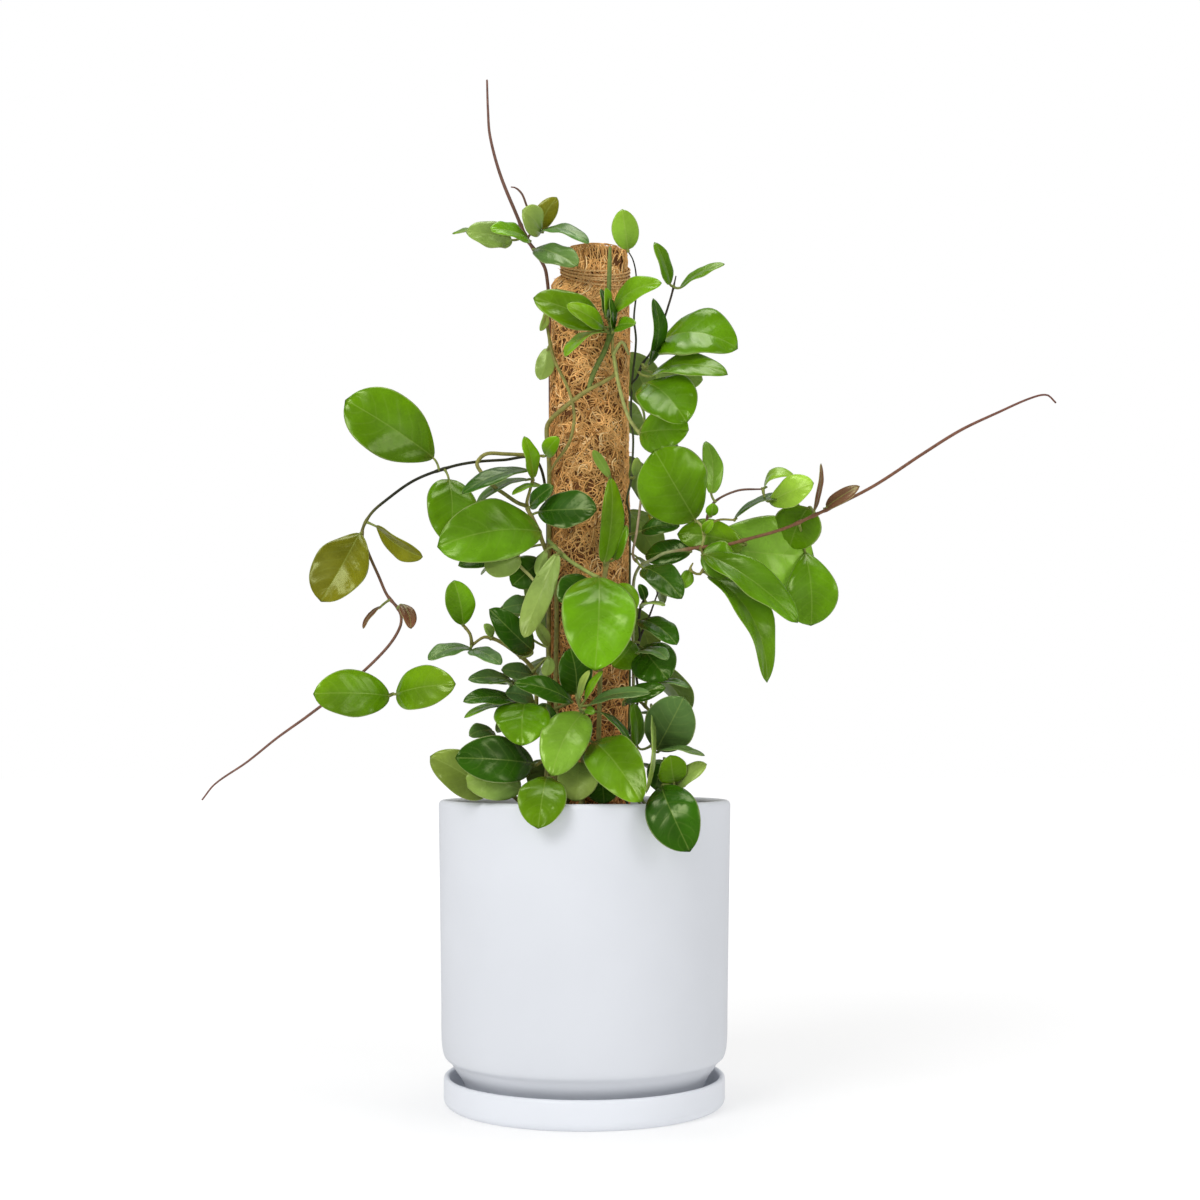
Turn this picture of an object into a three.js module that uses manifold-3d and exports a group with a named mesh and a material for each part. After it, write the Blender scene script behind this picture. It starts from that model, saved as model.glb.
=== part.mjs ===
// A hoya climbing a coir-wrapped pole, in a straight white pot that stands on its saucer.
// Millimetres, +Z up, seen from the front along +Y. The origin is the middle of the saucer's underside.
import * as THREE from 'three';
import { mergeVertices } from 'three/addons/utils/BufferGeometryUtils.js';
import Module from 'manifold-3d';

const wasm = await Module();
wasm.setup();

// Driving dimensions
const GAP = 0.3;
const ROUND_SIDES = 32;

const SAUCER = { radius: 119, height: 25, wall: 5, floor: 6, foot: 7, cove: 4 };
const SAUCER_STEP = { radius: 107, height: 0.6, run: 1 };
const POT = { topRadius: 125, height: 256, wall: 8, floor: 10, drainRadius: 8 };
const POT_BASE_Z = SAUCER.floor + SAUCER_STEP.height + GAP;
// The pot's outer line from its base up to the straight wall, and the bend of its inner line
const POT_FOOT_LINE = [[97, POT_BASE_Z], [102.5, 20], [110, 31.5], [113.7, 37], [118.8, 42], [121, 54]];
const POT_INSIDE = { baseRadius: 86, lowRadius: 110, lowZ: 56 };
const SOIL_TOP = 232;
const SOIL = { clear: 1, rimDrop: 4, crest: [92, 2.2], dip: [58, -0.8] };
const STEM_HOLE = { clear: 1.6, below: 1.5, above: 14 };

const POLE_X = 4;
const POLE = { radius: 34, bottomZ: 70, straightZ: 674, topZ: 735, relief: 1.1, sides: 20, levels: 10 };
// The wrap's surface has two waves of lumps. Each is a step round the pole, a step up the levels, a phase and
// a share. The lumps are sunk a little, so that more of them lie inside the radius than outside.
const LUMP_WAVES = [[3.1, 2.3, 0, 0.6], [1.7, -1.1, 2, 0.4]];
const LUMP_SINK = 0.2;
// Above the straight part the wrap is drawn in by the tie. Each level is a height, a radius, how far its
// middle is off the pole's to the right, and its share of the tie's tilt.
const NECK = [
  [704, 33.4, 0.4, 1],
  [709, 31, 2.5, 1],
  [711.5, 28.2, 5, 1],
  [728, 28, 5, 0.5],
  [POLE.topZ, 27.4, 5, 0],
];
const NECK_CALM = 0.3;
const CROWN = { raggedness: 3, step: 2.9, dish: 2 };
// The tie's height is at its middle: it dips to the front and to the right
const TIE = {
  x: POLE_X + 5,
  z: 717.5,
  strands: 5,
  strandRadius: 1,
  overlap: 0.94,
  radius: 29.6,
  sides: 13,
  ridgeAngle: 50,
};
const TILT = { forward: 0.45, right: 0.1 };
const STAKE = { width: 18, bottomZ: 70.5, topZ: 724 };

// The front view in which the stems and leaves are listed. Its frame is 1200 points square, and the eye
// stands in front of the plant, looking up a little. A place in the view and a depth, y, give a point.
const VIEW = { distance: 1544.4, height: 303.1, side: 13.2, pitch: 0.0808, focal: 1785.15, centre: 600 };

// Blade thickness by the leaf's age, and the stem's bluntness
const BLADE_THICKNESS = {
  lime: 1.5,
  bright: 1.5,
  fresh: 1.6,
  green: 1.7,
  dark: 1.9,
  pale: 1.5,
  olive: 1.7,
  moss: 1.7,
  cool: 1.7,
  brown: 1.4,
};
const OUTLINE_POWER = 0.5;
const PETIOLE_RADIUS = 1.15;
const PETIOLE_SHORTEST = 1.8;
const STEM_SIDES = 4;
const SECTIONS = [0.09, 0.34, 0.62, 0.87];
const SMALL_SECTIONS = [0.24, 0.7];
const SMALL_LEAF = 42;

// A vine has stems and leaves. A stem is a radius, then a climb and a path. A climb is the turn round the
// pole in degrees, 0 at the right and 90 at the back, the height that it ends at, or null, and, where it
// winds, the turn that it ends at. A path is points of the view with a depth. A leaf is its base, its tip,
// its full width, its roll, its arch, its fold, its age and, where it isn't 1, its belly: above 1 the blade
// is widest nearer its tip, below 1 nearer its base. Roll 0 turns the upper face to the viewer, more tips it
// up, and 180 shows the underside.
const VINES = {
  vine_top_left: {
    stems: [
      [1.6, [142, 676, 158], [[546, 272, -6], [537, 254, -12], [527, 239, -16], [517, 216, -20],
        [500, 174, -24], [490, 136, -26], [488, 111, -24], [487, 80, -20]]],
      [1.0, null, [[527, 239, -16], [532, 230, -18], [530, 216, -20], [526, 204, -24], [522, 194, -28],
        [516, 188, -30], [511, 187, -32]]],
    ],
    leaves: [
      [[500, 236, -10], [452, 234, -34], 22, 70, 0.08, 10, 'green'],
      [[512, 240, -24], [466, 233, -54], 28, 15, 0.1, 12, 'pale'],
      [[529, 240, -30], [490, 230, -66], 22, 30, 0.1, 14, 'lime'],
      [[541, 232, -24], [522, 210, -54], 27, 18, 0.1, 10, 'pale', 1.1],
      [[539, 229, -14], [557, 197, -30], 19, 0, 0.1, 8, 'olive'],
      [[541, 232, -20], [589, 244, -52], 21, 44, 0.15, 10, 'cool'],
      [[535, 249, -26], [578, 266, -62], 26, 22, 0.1, 8, 'cool', 1.15],
    ],
  },
  vine_pole: {
    stems: [
      [2.1, [205, 545], [[547, 440, -20], [548, 424, -21], [565, 407, -38], [588, 390, -43], [605, 381, -43],
        [616, 372, -39], [613, 352, -41], [612, 330, -42]]],
      [2.3, null, [[612, 330, -42], [604, 352, -44], [594, 372, -44], [588, 390, -43]]],
      [1.5, null, [[613, 355, -42], [622, 342, -42], [629, 355, -38]]],
      [1.6, null, [[613, 352, -41], [619, 386, -46], [629, 418, -48], [640, 434, -47], [649, 447, -47]]],
      [2.0, null, [[612, 330, -42], [609, 310, -44], [609, 289, -46], [610, 247, -40]]],
      [1.4, null, [[545, 310, -20], [548, 331, -22], [554, 359, -30], [567, 386, -39], [573, 405, -42],
        [574, 422, -42], [569, 443, -40], [556, 462, -32], [548, 476, -22]]],
    ],
    leaves: [
      [[603, 327, -46], [533, 298, -72], 38, 24, 0.12, 14, 'green', 1.1],
      [[604, 328, -52], [566, 305, -88], 18, 14, 0.1, 12, 'lime', 1.1],
      [[606, 318, -48], [600, 289, -64], 15, 60, 0.05, 10, 'dark'],
      [[607, 318, -52], [605, 288, -74], 15, 60, 0.05, 10, 'lime'],
      [[613, 331, -50], [610, 298, -70], 11, 55, 0.05, 10, 'dark'],
      [[614, 308, -50], [662, 283, -76], 28, 34, 0.1, 8, 'lime', 0.72],
      [[618, 327, -46], [636, 324, -92], 16, 0, 0.1, 10, 'green'],
      [[604, 331, -48], [565, 357, -72], 20, 55, 0.1, 10, 'lime'],
      [[548, 348, -20], [540, 380, -26], 17, 180, 0.1, 10, 'pale'],
      [[546, 312, -20], [540, 331, -30], 9, 40, 0.1, 10, 'pale'],
    ],
  },
  vine_right_upper: {
    stems: [
      [1, [335, 500], [[627, 500, -30], [631, 480, -26], [633, 450, -24], [633, 435, -24], [631, 420, -24],
        [632, 383, -24], [636, 341, -20], [634, 318, -20], [636, 296, -16], [636, 274, -16], [633, 260, -24],
        [628, 251, -32]]],
      [1, null, [[632, 383, -24], [637, 377, -28], [643, 363, -30], [652, 351, -30], [659, 334, -26],
        [671, 297, -20], [676, 276, -18]]],
      [1.1, null, [[632, 385, -24], [635, 396, -30], [643, 410, -38], [645, 424, -46]]],
    ],
    leaves: [
      [[670, 285, -20], [654, 242, -34], 20, 45, 0.1, 12, 'green'],
      [[680, 288, -20], [725, 264, -34], 20, 55, 0.1, 12, 'green'],
      [[648, 366, -40], [653, 298, -66], 22, 55, 0.12, 14, 'dark'],
      [[661, 342, -34], [738, 349, -60], 63, 35, 0.22, 12, 'green', 0.9],
      [[655, 355, -26], [693, 361, -42], 16, 75, 0.1, 10, 'pale'],
      [[650, 376, -44], [728, 375, -86], 34, 45, 0.15, 8, 'green'],
      [[655, 373, -30], [703, 380, -42], 24, 180, 0.1, 10, 'pale'],
      [[646, 383, -48], [687, 423, -94], 50, 12, 0.1, 14, 'green', 1.1],
      [[640, 433, -50], [689, 430, -74], 46, 20, 0.1, 10, 'fresh'],
      [[652, 446, -42], [677, 447, -62], 18, 75, 0.1, 10, 'dark'],
      [[656, 348, -22], [655, 331, -30], 11, 50, 0.1, 10, 'dark'],
      [[628, 250, -34], [622, 209, -48], 24, 0, 0.1, 10, 'bright'],
      [[635, 476, -34], [637, 457, -46], 9, 0, 0.1, 10, 'pale'],
      [[641, 531, -42], [680, 526, -54], 20, 30, 0.1, 10, 'dark'],
    ],
  },
  vine_right_runner: {
    stems: [
      [1.4, [354, 440], [[640, 566, -26], [652, 560, -36], [665, 553, -46], [695, 548, -54], [702, 547, -56],
        [725, 545, -60], [748, 539, -62], [783, 529, -64], [815, 515, -64], [845, 501, -64], [877, 484, -62],
        [924, 453, -58], [961, 430, -54], [999, 412, -50], [1031, 398, -46], [1047, 395, -44],
        [1056, 403, -44]]],
      [1.2, null, [[702, 547, -56], [704, 536, -58], [701, 525, -54], [694, 519, -52]]],
      [1.0, null, [[704, 536, -58], [712, 505, -56], [736, 491, -56], [763, 489, -58]]],
      [1.0, null, [[705, 528, -58], [718, 520, -56], [735, 520, -54]]],
      [1.1, null, [[700, 547, -56], [705, 561, -60], [700, 574, -62], [690, 570, -62], [693, 563, -60]]],
      [1.1, null, [[642, 491, -48], [637, 530, -52], [633, 556, -40], [641, 566, -27]]],
    ],
    leaves: [
      [[695, 520, -54], [654, 450, -88], 64, 5, 0.1, -8, 'green', 1.15],
      [[711, 494, -56], [706, 441, -44], 19, 20, 0.1, 10, 'bright', 0.9],
      [[672, 505, -34], [650, 521, -36], 22, 20, 0.1, 10, 'olive'],
      [[744, 545, -48], [677, 534, -44], 30, 0, 0.08, 8, 'green'],
      [[704, 533, -62], [713, 520, -72], 9, 0, 0.1, 10, 'lime'],
      [[691, 552, -44], [645, 556, -24], 25, 20, 0.1, 10, 'dark'],
      [[643, 568, -44], [682, 599, -86], 28, 20, 0.1, 10, 'dark'],
      [[690, 571, -62], [680, 589, -76], 12, 0, 0.1, 10, 'lime'],
      [[764, 488, -58], [795, 476, -70], 16, 50, 0.36, 5, 'bright'],
      [[769, 502, -60], [814, 483, -88], 27, 18, 0.1, 8, 'bright', 1.3],
      [[734, 519, -52], [800, 505, -62], 22, 66, 0.2, 5, 'dark'],
      [[808, 507, -52], [790, 548, -34], 42, 10, 0.1, 8, 'green', 0.9],
      [[704, 545, -42], [814, 556, -24], 66, 0, 0.1, 6, 'bright', 1.25],
      [[704, 554, -62], [798, 623, -84], 38, 32, 0.12, 24, 'green', 1.1],
      [[805, 552, -30], [811, 626, -28], 46, 0, 0.25, 8, 'green', 1.45],
      [[709, 575, -60], [767, 683, -76], 41, 44, 0.2, 20, 'green', 0.85],
      [[701, 555, -60], [736, 569, -60], 34, 10, 0.1, 8, 'green'],
      [[712, 516, -60], [713, 503, -68], 11, 0, 0.1, 10, 'green'],
      [[814, 512, -64], [821, 463, -76], 9, 55, 0.05, 10, 'brown'],
      [[826, 508, -64], [860, 486, -86], 13, 20, 0.1, 10, 'brown'],
    ],
  },
  vine_front: {
    stems: [
      [2.1, [282, 300], [[600, 680, -46], [601, 640, -46], [601, 600, -46], [605, 574, -44], [608, 540, -42],
        [609, 500, -42], [610, 476, -42]]],
      [1.7, null, [[548, 540, -44], [565, 557, -54], [591, 574, -58], [611, 585, -56], [619, 590, -58],
        [627, 601, -64], [634, 609, -70]]],
      [1.4, null, [[601, 600, -46], [606, 592, -52], [611, 585, -56]]],
    ],
    leaves: [
      [[599, 577, -64], [595, 671, -104], 62, 0, 0.14, 10, 'lime'],
      [[617, 584, -56], [634, 612, -72], 24, 10, 0.1, 10, 'lime'],
      [[592, 582, -50], [559, 602, -70], 32, 16, 0.1, 10, 'dark'],
      [[604, 563, -50], [611, 477, -62], 23, 24, 0.06, 22, 'green', 0.9],
      [[610, 478, -48], [593, 450, -64], 9, 180, 0.1, 10, 'lime'],
      [[614, 560, -46], [627, 525, -56], 16, 30, 0.1, 10, 'green'],
      [[546, 550, -54], [538, 577, -66], 10, 180, 0.1, 10, 'pale'],
      [[557, 553, -62], [524, 638, -94], 22, 175, 0.1, 12, 'pale'],
    ],
  },
  vine_left_runner: {
    stems: [
      [1.3, [156, 520, 172], [[535, 459, -4], [503, 460, -14], [475, 462, -20], [450, 467, -24],
        [415, 480, -30], [385, 501, -36], [370, 515, -38], [362, 533, -40], [368, 552, -40], [379, 577, -40],
        [387, 595, -40], [400, 612, -42], [400, 627, -44], [385, 650, -46], [349, 684, -48], [309, 715, -48],
        [277, 738, -46], [247, 762, -44], [215, 784, -42], [202, 800, -42]]],
      [1.6, null, [[349, 684, -48], [368, 693, -44], [385, 696, -44], [393, 694, -46]]],
    ],
    leaves: [
      [[434, 458, -28], [345, 400, -58], 60, 10, 0.12, 10, 'green', 1.35],
      [[449, 479, -28], [450, 544, -46], 44, 14, 0.1, 8, 'green', 0.9],
      [[360, 533, -42], [321, 602, -60], 48, 6, 0.1, 14, 'olive', 1.3],
      [[376, 526, -38], [423, 557, -62], 25, -48, 0.04, 24, 'olive', 1.25],
      [[381, 606, -42], [363, 629, -50], 8, 50, 0.1, 10, 'brown'],
      [[402, 604, -46], [411, 629, -58], 14, 30, 0.1, 14, 'brown'],
      [[390, 696, -50], [313, 694, -80], 41, 10, 0.1, 10, 'green', 1.1],
      [[396, 694, -50], [456, 684, -86], 37, 10, 0.1, 8, 'lime'],
    ],
  },
  vine_left_mid: {
    stems: [
      [2.0, [222, 440], [[548, 556, -38], [543, 543, -42], [536, 525, -46], [527, 506, -48], [530, 490, -46],
        [533, 480, -42]]],
      [1.7, null, [[527, 506, -48], [518, 503, -50], [506, 495, -52], [491, 484, -52], [481, 472, -50],
        [477, 463, -46], [486, 454, -42], [505, 454, -38], [527, 455, -32], [543, 456, -28]]],
      [1.4, null, [[536, 525, -46], [527, 541, -50], [517, 560, -56], [530, 576, -62], [541, 588, -64]]],
    ],
    leaves: [
      [[541, 532, -50], [437, 547, -90], 56, 14, 0.14, 8, 'fresh', 1.1],
      [[494, 560, -54], [458, 566, -68], 17, 30, 0.1, 10, 'dark'],
      [[520, 557, -60], [486, 571, -86], 24, 190, 0.1, 10, 'pale'],
      [[541, 560, -46], [512, 586, -60], 30, 10, 0.1, 8, 'dark'],
      [[533, 479, -44], [524, 436, -54], 20, 50, 0.1, 12, 'lime'],
      [[529, 470, -46], [462, 494, -80], 28, 54, 0.1, 12, 'dark'],
      [[528, 479, -38], [476, 505, -56], 19, 58, 0.1, 12, 'cool'],
      [[541, 486, -42], [512, 495, -66], 10, 50, 0.1, 10, 'lime'],
      [[530, 507, -52], [554, 486, -74], 18, 30, 0.1, 10, 'dark'],
      [[538, 512, -54], [597, 510, -86], 36, 20, 0.1, 10, 'dark', 1.25],
      [[546, 456, -30], [559, 437, -50], 15, 0, 0.1, 10, 'lime'],
    ],
  },
  vine_low_left: {
    stems: [
      [1.9, [190, 300], [[537, 712, -12], [534, 672, -28], [510, 648, -44], [486, 637, -52],
        [472, 645, -56]]],
      [1.4, null, [[472, 645, -56], [470, 634, -58], [463, 625, -58]]],
      [1.4, null, [[510, 648, -44], [524, 634, -50], [533, 616, -58]]],
      [1.4, null, [[534, 672, -28], [524, 680, -52], [513, 684, -58]]],
    ],
    leaves: [
      [[463, 625, -60], [454, 580, -78], 25, 5, 0.1, 10, 'green', 1.15],
      [[533, 651, -46], [489, 609, -86], 27, 15, 0.1, 10, 'dark'],
      [[535, 606, -52], [502, 609, -68], 20, 30, 0.1, 10, 'cool'],
      [[493, 636, -54], [484, 624, -62], 9, 20, 0.1, 10, 'pale'],
      [[471, 648, -58], [428, 660, -86], 21, 52, 0.1, 10, 'cool'],
      [[471, 650, -62], [501, 665, -92], 20, 48, 0.1, 10, 'cool'],
      [[511, 680, -62], [468, 680, -90], 19, 44, 0.1, 10, 'cool'],
      [[533, 676, -50], [501, 670, -72], 19, 30, 0.1, 10, 'cool'],
      [[512, 686, -72], [488, 684, -100], 10, 75, 0.1, 10, 'dark'],
      [[549, 645, -46], [534, 621, -62], 12, 30, 0.1, 10, 'pale'],
      [[550, 657, -46], [545, 676, -56], 11, 180, 0.1, 10, 'pale'],
    ],
  },
  vine_low_left_front: {
    stems: [
      [1.9, [240, 250], [[556, 725, -52], [549, 712, -56], [530, 706, -62], [516, 700, -64]]],
      [1.6, null, [[556, 725, -52], [550, 745, -60], [543, 760, -68], [535, 766, -72]]],
      [1.5, null, [[549, 712, -56], [562, 706, -62], [572, 702, -66]]],
    ],
    leaves: [
      [[572, 702, -70], [514, 683, -102], 22, 34, 0.1, 8, 'dark'],
      [[516, 701, -66], [463, 702, -98], 22, 50, 0.1, 10, 'dark'],
      [[514, 706, -64], [464, 718, -86], 16, 65, 0.1, 10, 'green'],
      [[534, 700, -60], [505, 693, -78], 18, 30, 0.1, 10, 'cool'],
      [[525, 703, -72], [522, 746, -104], 48, 0, 0.12, 12, 'green', 0.95],
      [[546, 703, -58], [541, 732, -70], 20, 10, 0.1, 10, 'dark'],
      [[534, 764, -74], [455, 758, -118], 40, 16, 0.12, 10, 'dark', 1.1],
    ],
  },
  vine_low_front: {
    stems: [
      [1.9, [262, 250], [[583, 745, -60], [583, 722, -66], [580, 706, -68]]],
      [1.6, null, [[583, 745, -60], [572, 758, -74], [560, 770, -86], [550, 778, -98]]],
    ],
    leaves: [
      [[579, 700, -70], [590, 670, -82], 9, 45, 0.1, 10, 'pale'],
      [[585, 700, -73], [603, 671, -88], 9, 45, 0.1, 10, 'lime'],
      [[589, 705, -75], [651, 693, -112], 16, 52, 0.1, 12, 'cool'],
      [[585, 710, -78], [595, 713, -86], 8, 20, 0.1, 10, 'green'],
      [[583, 713, -76], [551, 776, -116], 40, 5, 0.1, 10, 'bright'],
      [[593, 742, -72], [642, 802, -138], 43, 6, 0.14, 10, 'green', 1.1],
      [[547, 777, -100], [538, 829, -138], 39, 0, 0.2, 8, 'green', 1.4],
      [[578, 762, -84], [576, 802, -102], 34, 0, 0.1, 8, 'fresh'],
      [[600, 774, -70], [604, 804, -82], 28, 0, 0.1, 8, 'dark', 1.2],
      [[600, 712, -74], [630, 744, -98], 12, 60, 0.1, 10, 'dark'],
      [[576, 695, -58], [570, 648, -70], 30, 10, 0.1, 10, 'dark'],
    ],
  },
  vine_low_right: {
    stems: [
      [1.1, [312, 285], [[638, 700, -44], [636, 670, -46], [639, 641, -46], [649, 617, -44],
        [658, 592, -42]]],
      [1.0, null, [[640, 638, -47], [639, 620, -48], [641, 606, -48], [648, 594, -46]]],
      [1.3, null, [[638, 700, -44], [645, 706, -56], [652, 716, -66], [653, 748, -68]]],
      [1.3, null, [[638, 700, -44], [628, 703, -52], [624, 705, -58]]],
    ],
    leaves: [
      [[641, 607, -50], [665, 606, -80], 12, 75, 0.1, 10, 'pale'],
      [[641, 620, -50], [677, 645, -84], 25, 34, 0.1, 14, 'dark'],
      [[642, 647, -50], [668, 680, -76], 40, 5, 0.1, 8, 'dark', 1.1],
      [[637, 653, -60], [668, 660, -98], 17, 55, 0.1, 14, 'cool'],
      [[658, 683, -60], [689, 688, -80], 11, 60, 0.1, 10, 'cool'],
      [[645, 600, -48], [639, 584, -56], 9, 10, 0.1, 10, 'dark'],
      [[634, 642, -50], [613, 667, -60], 31, 10, 0.1, 10, 'green', 1.1],
      [[624, 700, -62], [666, 688, -84], 18, 30, 0.1, 10, 'dark'],
      [[656, 750, -68], [684, 697, -94], 43, 0, 0.1, 8, 'cool', 1.15],
      [[651, 704, -76], [646, 794, -112], 15, 72, 0.06, 10, 'pale'],
      [[656, 752, -78], [705, 756, -110], 15, 75, 0.1, 10, 'cool'],
      [[637, 746, -56], [632, 702, -70], 17, 40, 0.1, 10, 'green'],
    ],
  },
  vine_pot_left: {
    stems: [
      [1.8, [236, null], [[505, 790, -84], [494, 791, -88]]],
      [1.5, null, [[504, 791, -84], [499, 762, -76], [494, 735, -64]]],
    ],
    leaves: [
      [[489, 792, -90], [430, 756, -104], 35, 8, 0.1, 8, 'moss', 0.9],
      [[521, 790, -92], [462, 774, -100], 32, 6, 0.1, 8, 'fresh'],
      [[493, 731, -62], [469, 736, -80], 16, 30, 0.1, 10, 'cool'],
    ],
  },
  vine_pot_right: {
    stems: [
      [1.8, [318, null], [[672, 795, -76], [674, 787, -84]]],
      [1.3, null, [[672, 795, -76], [665, 775, -68], [664, 762, -64]]],
    ],
    leaves: [
      [[661, 786, -96], [690, 852, -134], 43, 0, 0.28, 4, 'green', 1.35],
      [[664, 760, -64], [655, 790, -84], 22, 10, 0.1, 10, 'dark'],
      [[674, 783, -84], [670, 755, -96], 26, 10, 0.1, 10, 'green'],
      [[677, 786, -80], [707, 764, -94], 18, 40, 0.1, 10, 'pale'],
      [[683, 787, -74], [694, 773, -80], 8, 40, 0.1, 10, 'dark'],
    ],
  },
};

// Stems on the back of the pole, which follow a rule: a pair of leaves at each node. Each stem winds from one
// turn round the pole to another as it climbs.
const BACK_VINES = {
  vine_back_right: { turn: 50, endTurn: 82, top: 690, seed: 3 },
  vine_back_left: { turn: 129, endTurn: 133, top: 520, seed: 11 },
};
const BACK = {
  stemRadius: 1.9,
  firstNode: 282,
  rise: [42, 54],
  spread: [9, 24],
  petiole: [9, 22],
  length: [46, 76],
  shape: 0.58,
  droop: [12, 58],
  roll: 26,
  arch: 0.1,
  fold: 8,
  age: 'dark',
  lift: 5,
};

const STEM_ROOT = { radius: 62, lean: 6, outZ: 6, z: 204, clear: 4.3, leanIn: 40, step: 80 };
const RIM_ROOT = { radius: 78, lean: 4, outZ: 10 };
const STEM_END = 0.6;
const COLOURS = {
  saucer: ['#e9edf0', 0.35],
  pot: ['#eef1f4', 0.35],
  soil: ['#3a2c22', 0.95],
  stake: ['#9a7a54', 0.8],
  coir_wrap: ['#a8794b', 0.9],
  tie_band: ['#b98e5c', 0.85],
  vine: ['#5f9e2e', 0.4],
};

const DRAW_FACTOR = 16807;
const DRAW_MODULUS = 2 ** 31 - 1;
const SAME_POINT = 1e-4;
const NEARLY_ALONG_Y = 0.9;
const SIDEWAYS_ENOUGH = 0.25;

// A repeatable draw from 0 to 1
function drawFrom(seed) {
  let state = seed;
  return () => {
    state = (state * DRAW_FACTOR) % DRAW_MODULUS;
    return state / DRAW_MODULUS;
  };
}

// The point of the plant that shows at a place in the view, at a depth
function seen([across, down, depth]) {
  const u = (across - VIEW.centre) / VIEW.focal;
  const v = (VIEW.centre - down) / VIEW.focal;
  const reach = (depth + VIEW.distance) / (Math.cos(VIEW.pitch) - v * Math.sin(VIEW.pitch));
  const rise = Math.sin(VIEW.pitch) + v * Math.cos(VIEW.pitch);
  return new THREE.Vector3(VIEW.side + reach * u, depth, VIEW.height + reach * rise);
}

// A solid from a closed geometry
function solidOf(geometry) {
  geometry.deleteAttribute('normal');
  geometry.deleteAttribute('uv');
  const merged = mergeVertices(geometry, SAME_POINT);
  return new wasm.Manifold(new wasm.Mesh({
    numProp: 3,
    vertProperties: new Float32Array(merged.attributes.position.array),
    triVerts: new Uint32Array(merged.index.array),
  }));
}

// A solid from points and triangles
function solidFrom(points, triangles) {
  return new wasm.Manifold(new wasm.Mesh({
    numProp: 3,
    vertProperties: new Float32Array(points.flatMap((p) => [p.x, p.y, p.z])),
    triVerts: new Uint32Array(triangles.flat()),
  }));
}

function joined(solids) {
  return solids.reduce((whole, next) => whole.add(next));
}

function nodeFrom(name, solid, [colour, roughness]) {
  const mesh = solid.getMesh();
  const geometry = new THREE.BufferGeometry();
  geometry.setAttribute('position', new THREE.BufferAttribute(new Float32Array(mesh.vertProperties), 3));
  geometry.setIndex(new THREE.BufferAttribute(new Uint32Array(mesh.triVerts), 1));
  geometry.computeVertexNormals();
  const material = new THREE.MeshStandardMaterial({ color: colour, roughness, metalness: 0 });
  const node = new THREE.Mesh(geometry, material);
  node.name = name;
  return node;
}

// A solid of revolution about +Z from [radius, height] pairs
function turned(profile, sides = ROUND_SIDES) {
  const geometry = new THREE.LatheGeometry(profile.map(([r, z]) => new THREE.Vector2(r, z)), sides);
  geometry.rotateX(Math.PI / 2);
  return solidOf(geometry);
}

// A tube round a line of points, with a radius at each, closed by a fan at both ends
function tube(points, radii, sides) {
  const vertices = [];
  const triangles = [];
  let across = new THREE.Vector3(0, 1, 0);
  points.forEach((point, i) => {
    const before = points[Math.max(i - 1, 0)];
    const after = points[Math.min(i + 1, points.length - 1)];
    const along = after.clone().sub(before).normalize();
    if (i === 0 && Math.abs(along.y) > NEARLY_ALONG_Y) across.set(1, 0, 0);
    across = across.clone().addScaledVector(along, -across.dot(along)).normalize();
    const other = along.clone().cross(across);
    for (let k = 0; k < sides; k += 1) {
      const angle = (2 * Math.PI * k) / sides;
      vertices.push(point.clone()
        .addScaledVector(across, radii[i] * Math.cos(angle))
        .addScaledVector(other, radii[i] * Math.sin(angle)));
    }
  });
  const last = (points.length - 1) * sides;
  for (let i = 0; i < last; i += sides) {
    for (let k = 0; k < sides; k += 1) {
      const n = (k + 1) % sides;
      triangles.push([i + k, i + n, i + sides + n], [i + k, i + sides + n, i + sides + k]);
    }
  }
  for (let k = 1; k < sides - 1; k += 1) {
    triangles.push([0, k + 1, k], [last, last + k, last + k + 1]);
  }
  return solidFrom(vertices, triangles);
}

// How wide the blade is at a share of its length, from 0 to 1: an oval
function outline(share, belly) {
  return Math.sin(Math.PI * share ** belly) ** OUTLINE_POWER;
}

// The leaf's own axes: along the midrib, across it, and out of its upper face
function leafAxes(base, tip, roll, towards = new THREE.Vector3(0, -1, 0)) {
  const along = tip.clone().sub(base).normalize();
  const facing = towards.clone().addScaledVector(along, -towards.dot(along)).normalize();
  let side = along.clone().cross(facing);
  const upward = Math.abs(side.z) > SIDEWAYS_ENOUGH ? side.z : side.x;
  if (upward < 0) side = side.negate();
  const angle = THREE.MathUtils.degToRad(roll);
  const face = facing.multiplyScalar(Math.cos(angle)).addScaledVector(side, Math.sin(angle));
  return { along, face, across: face.clone().cross(along) };
}

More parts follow.
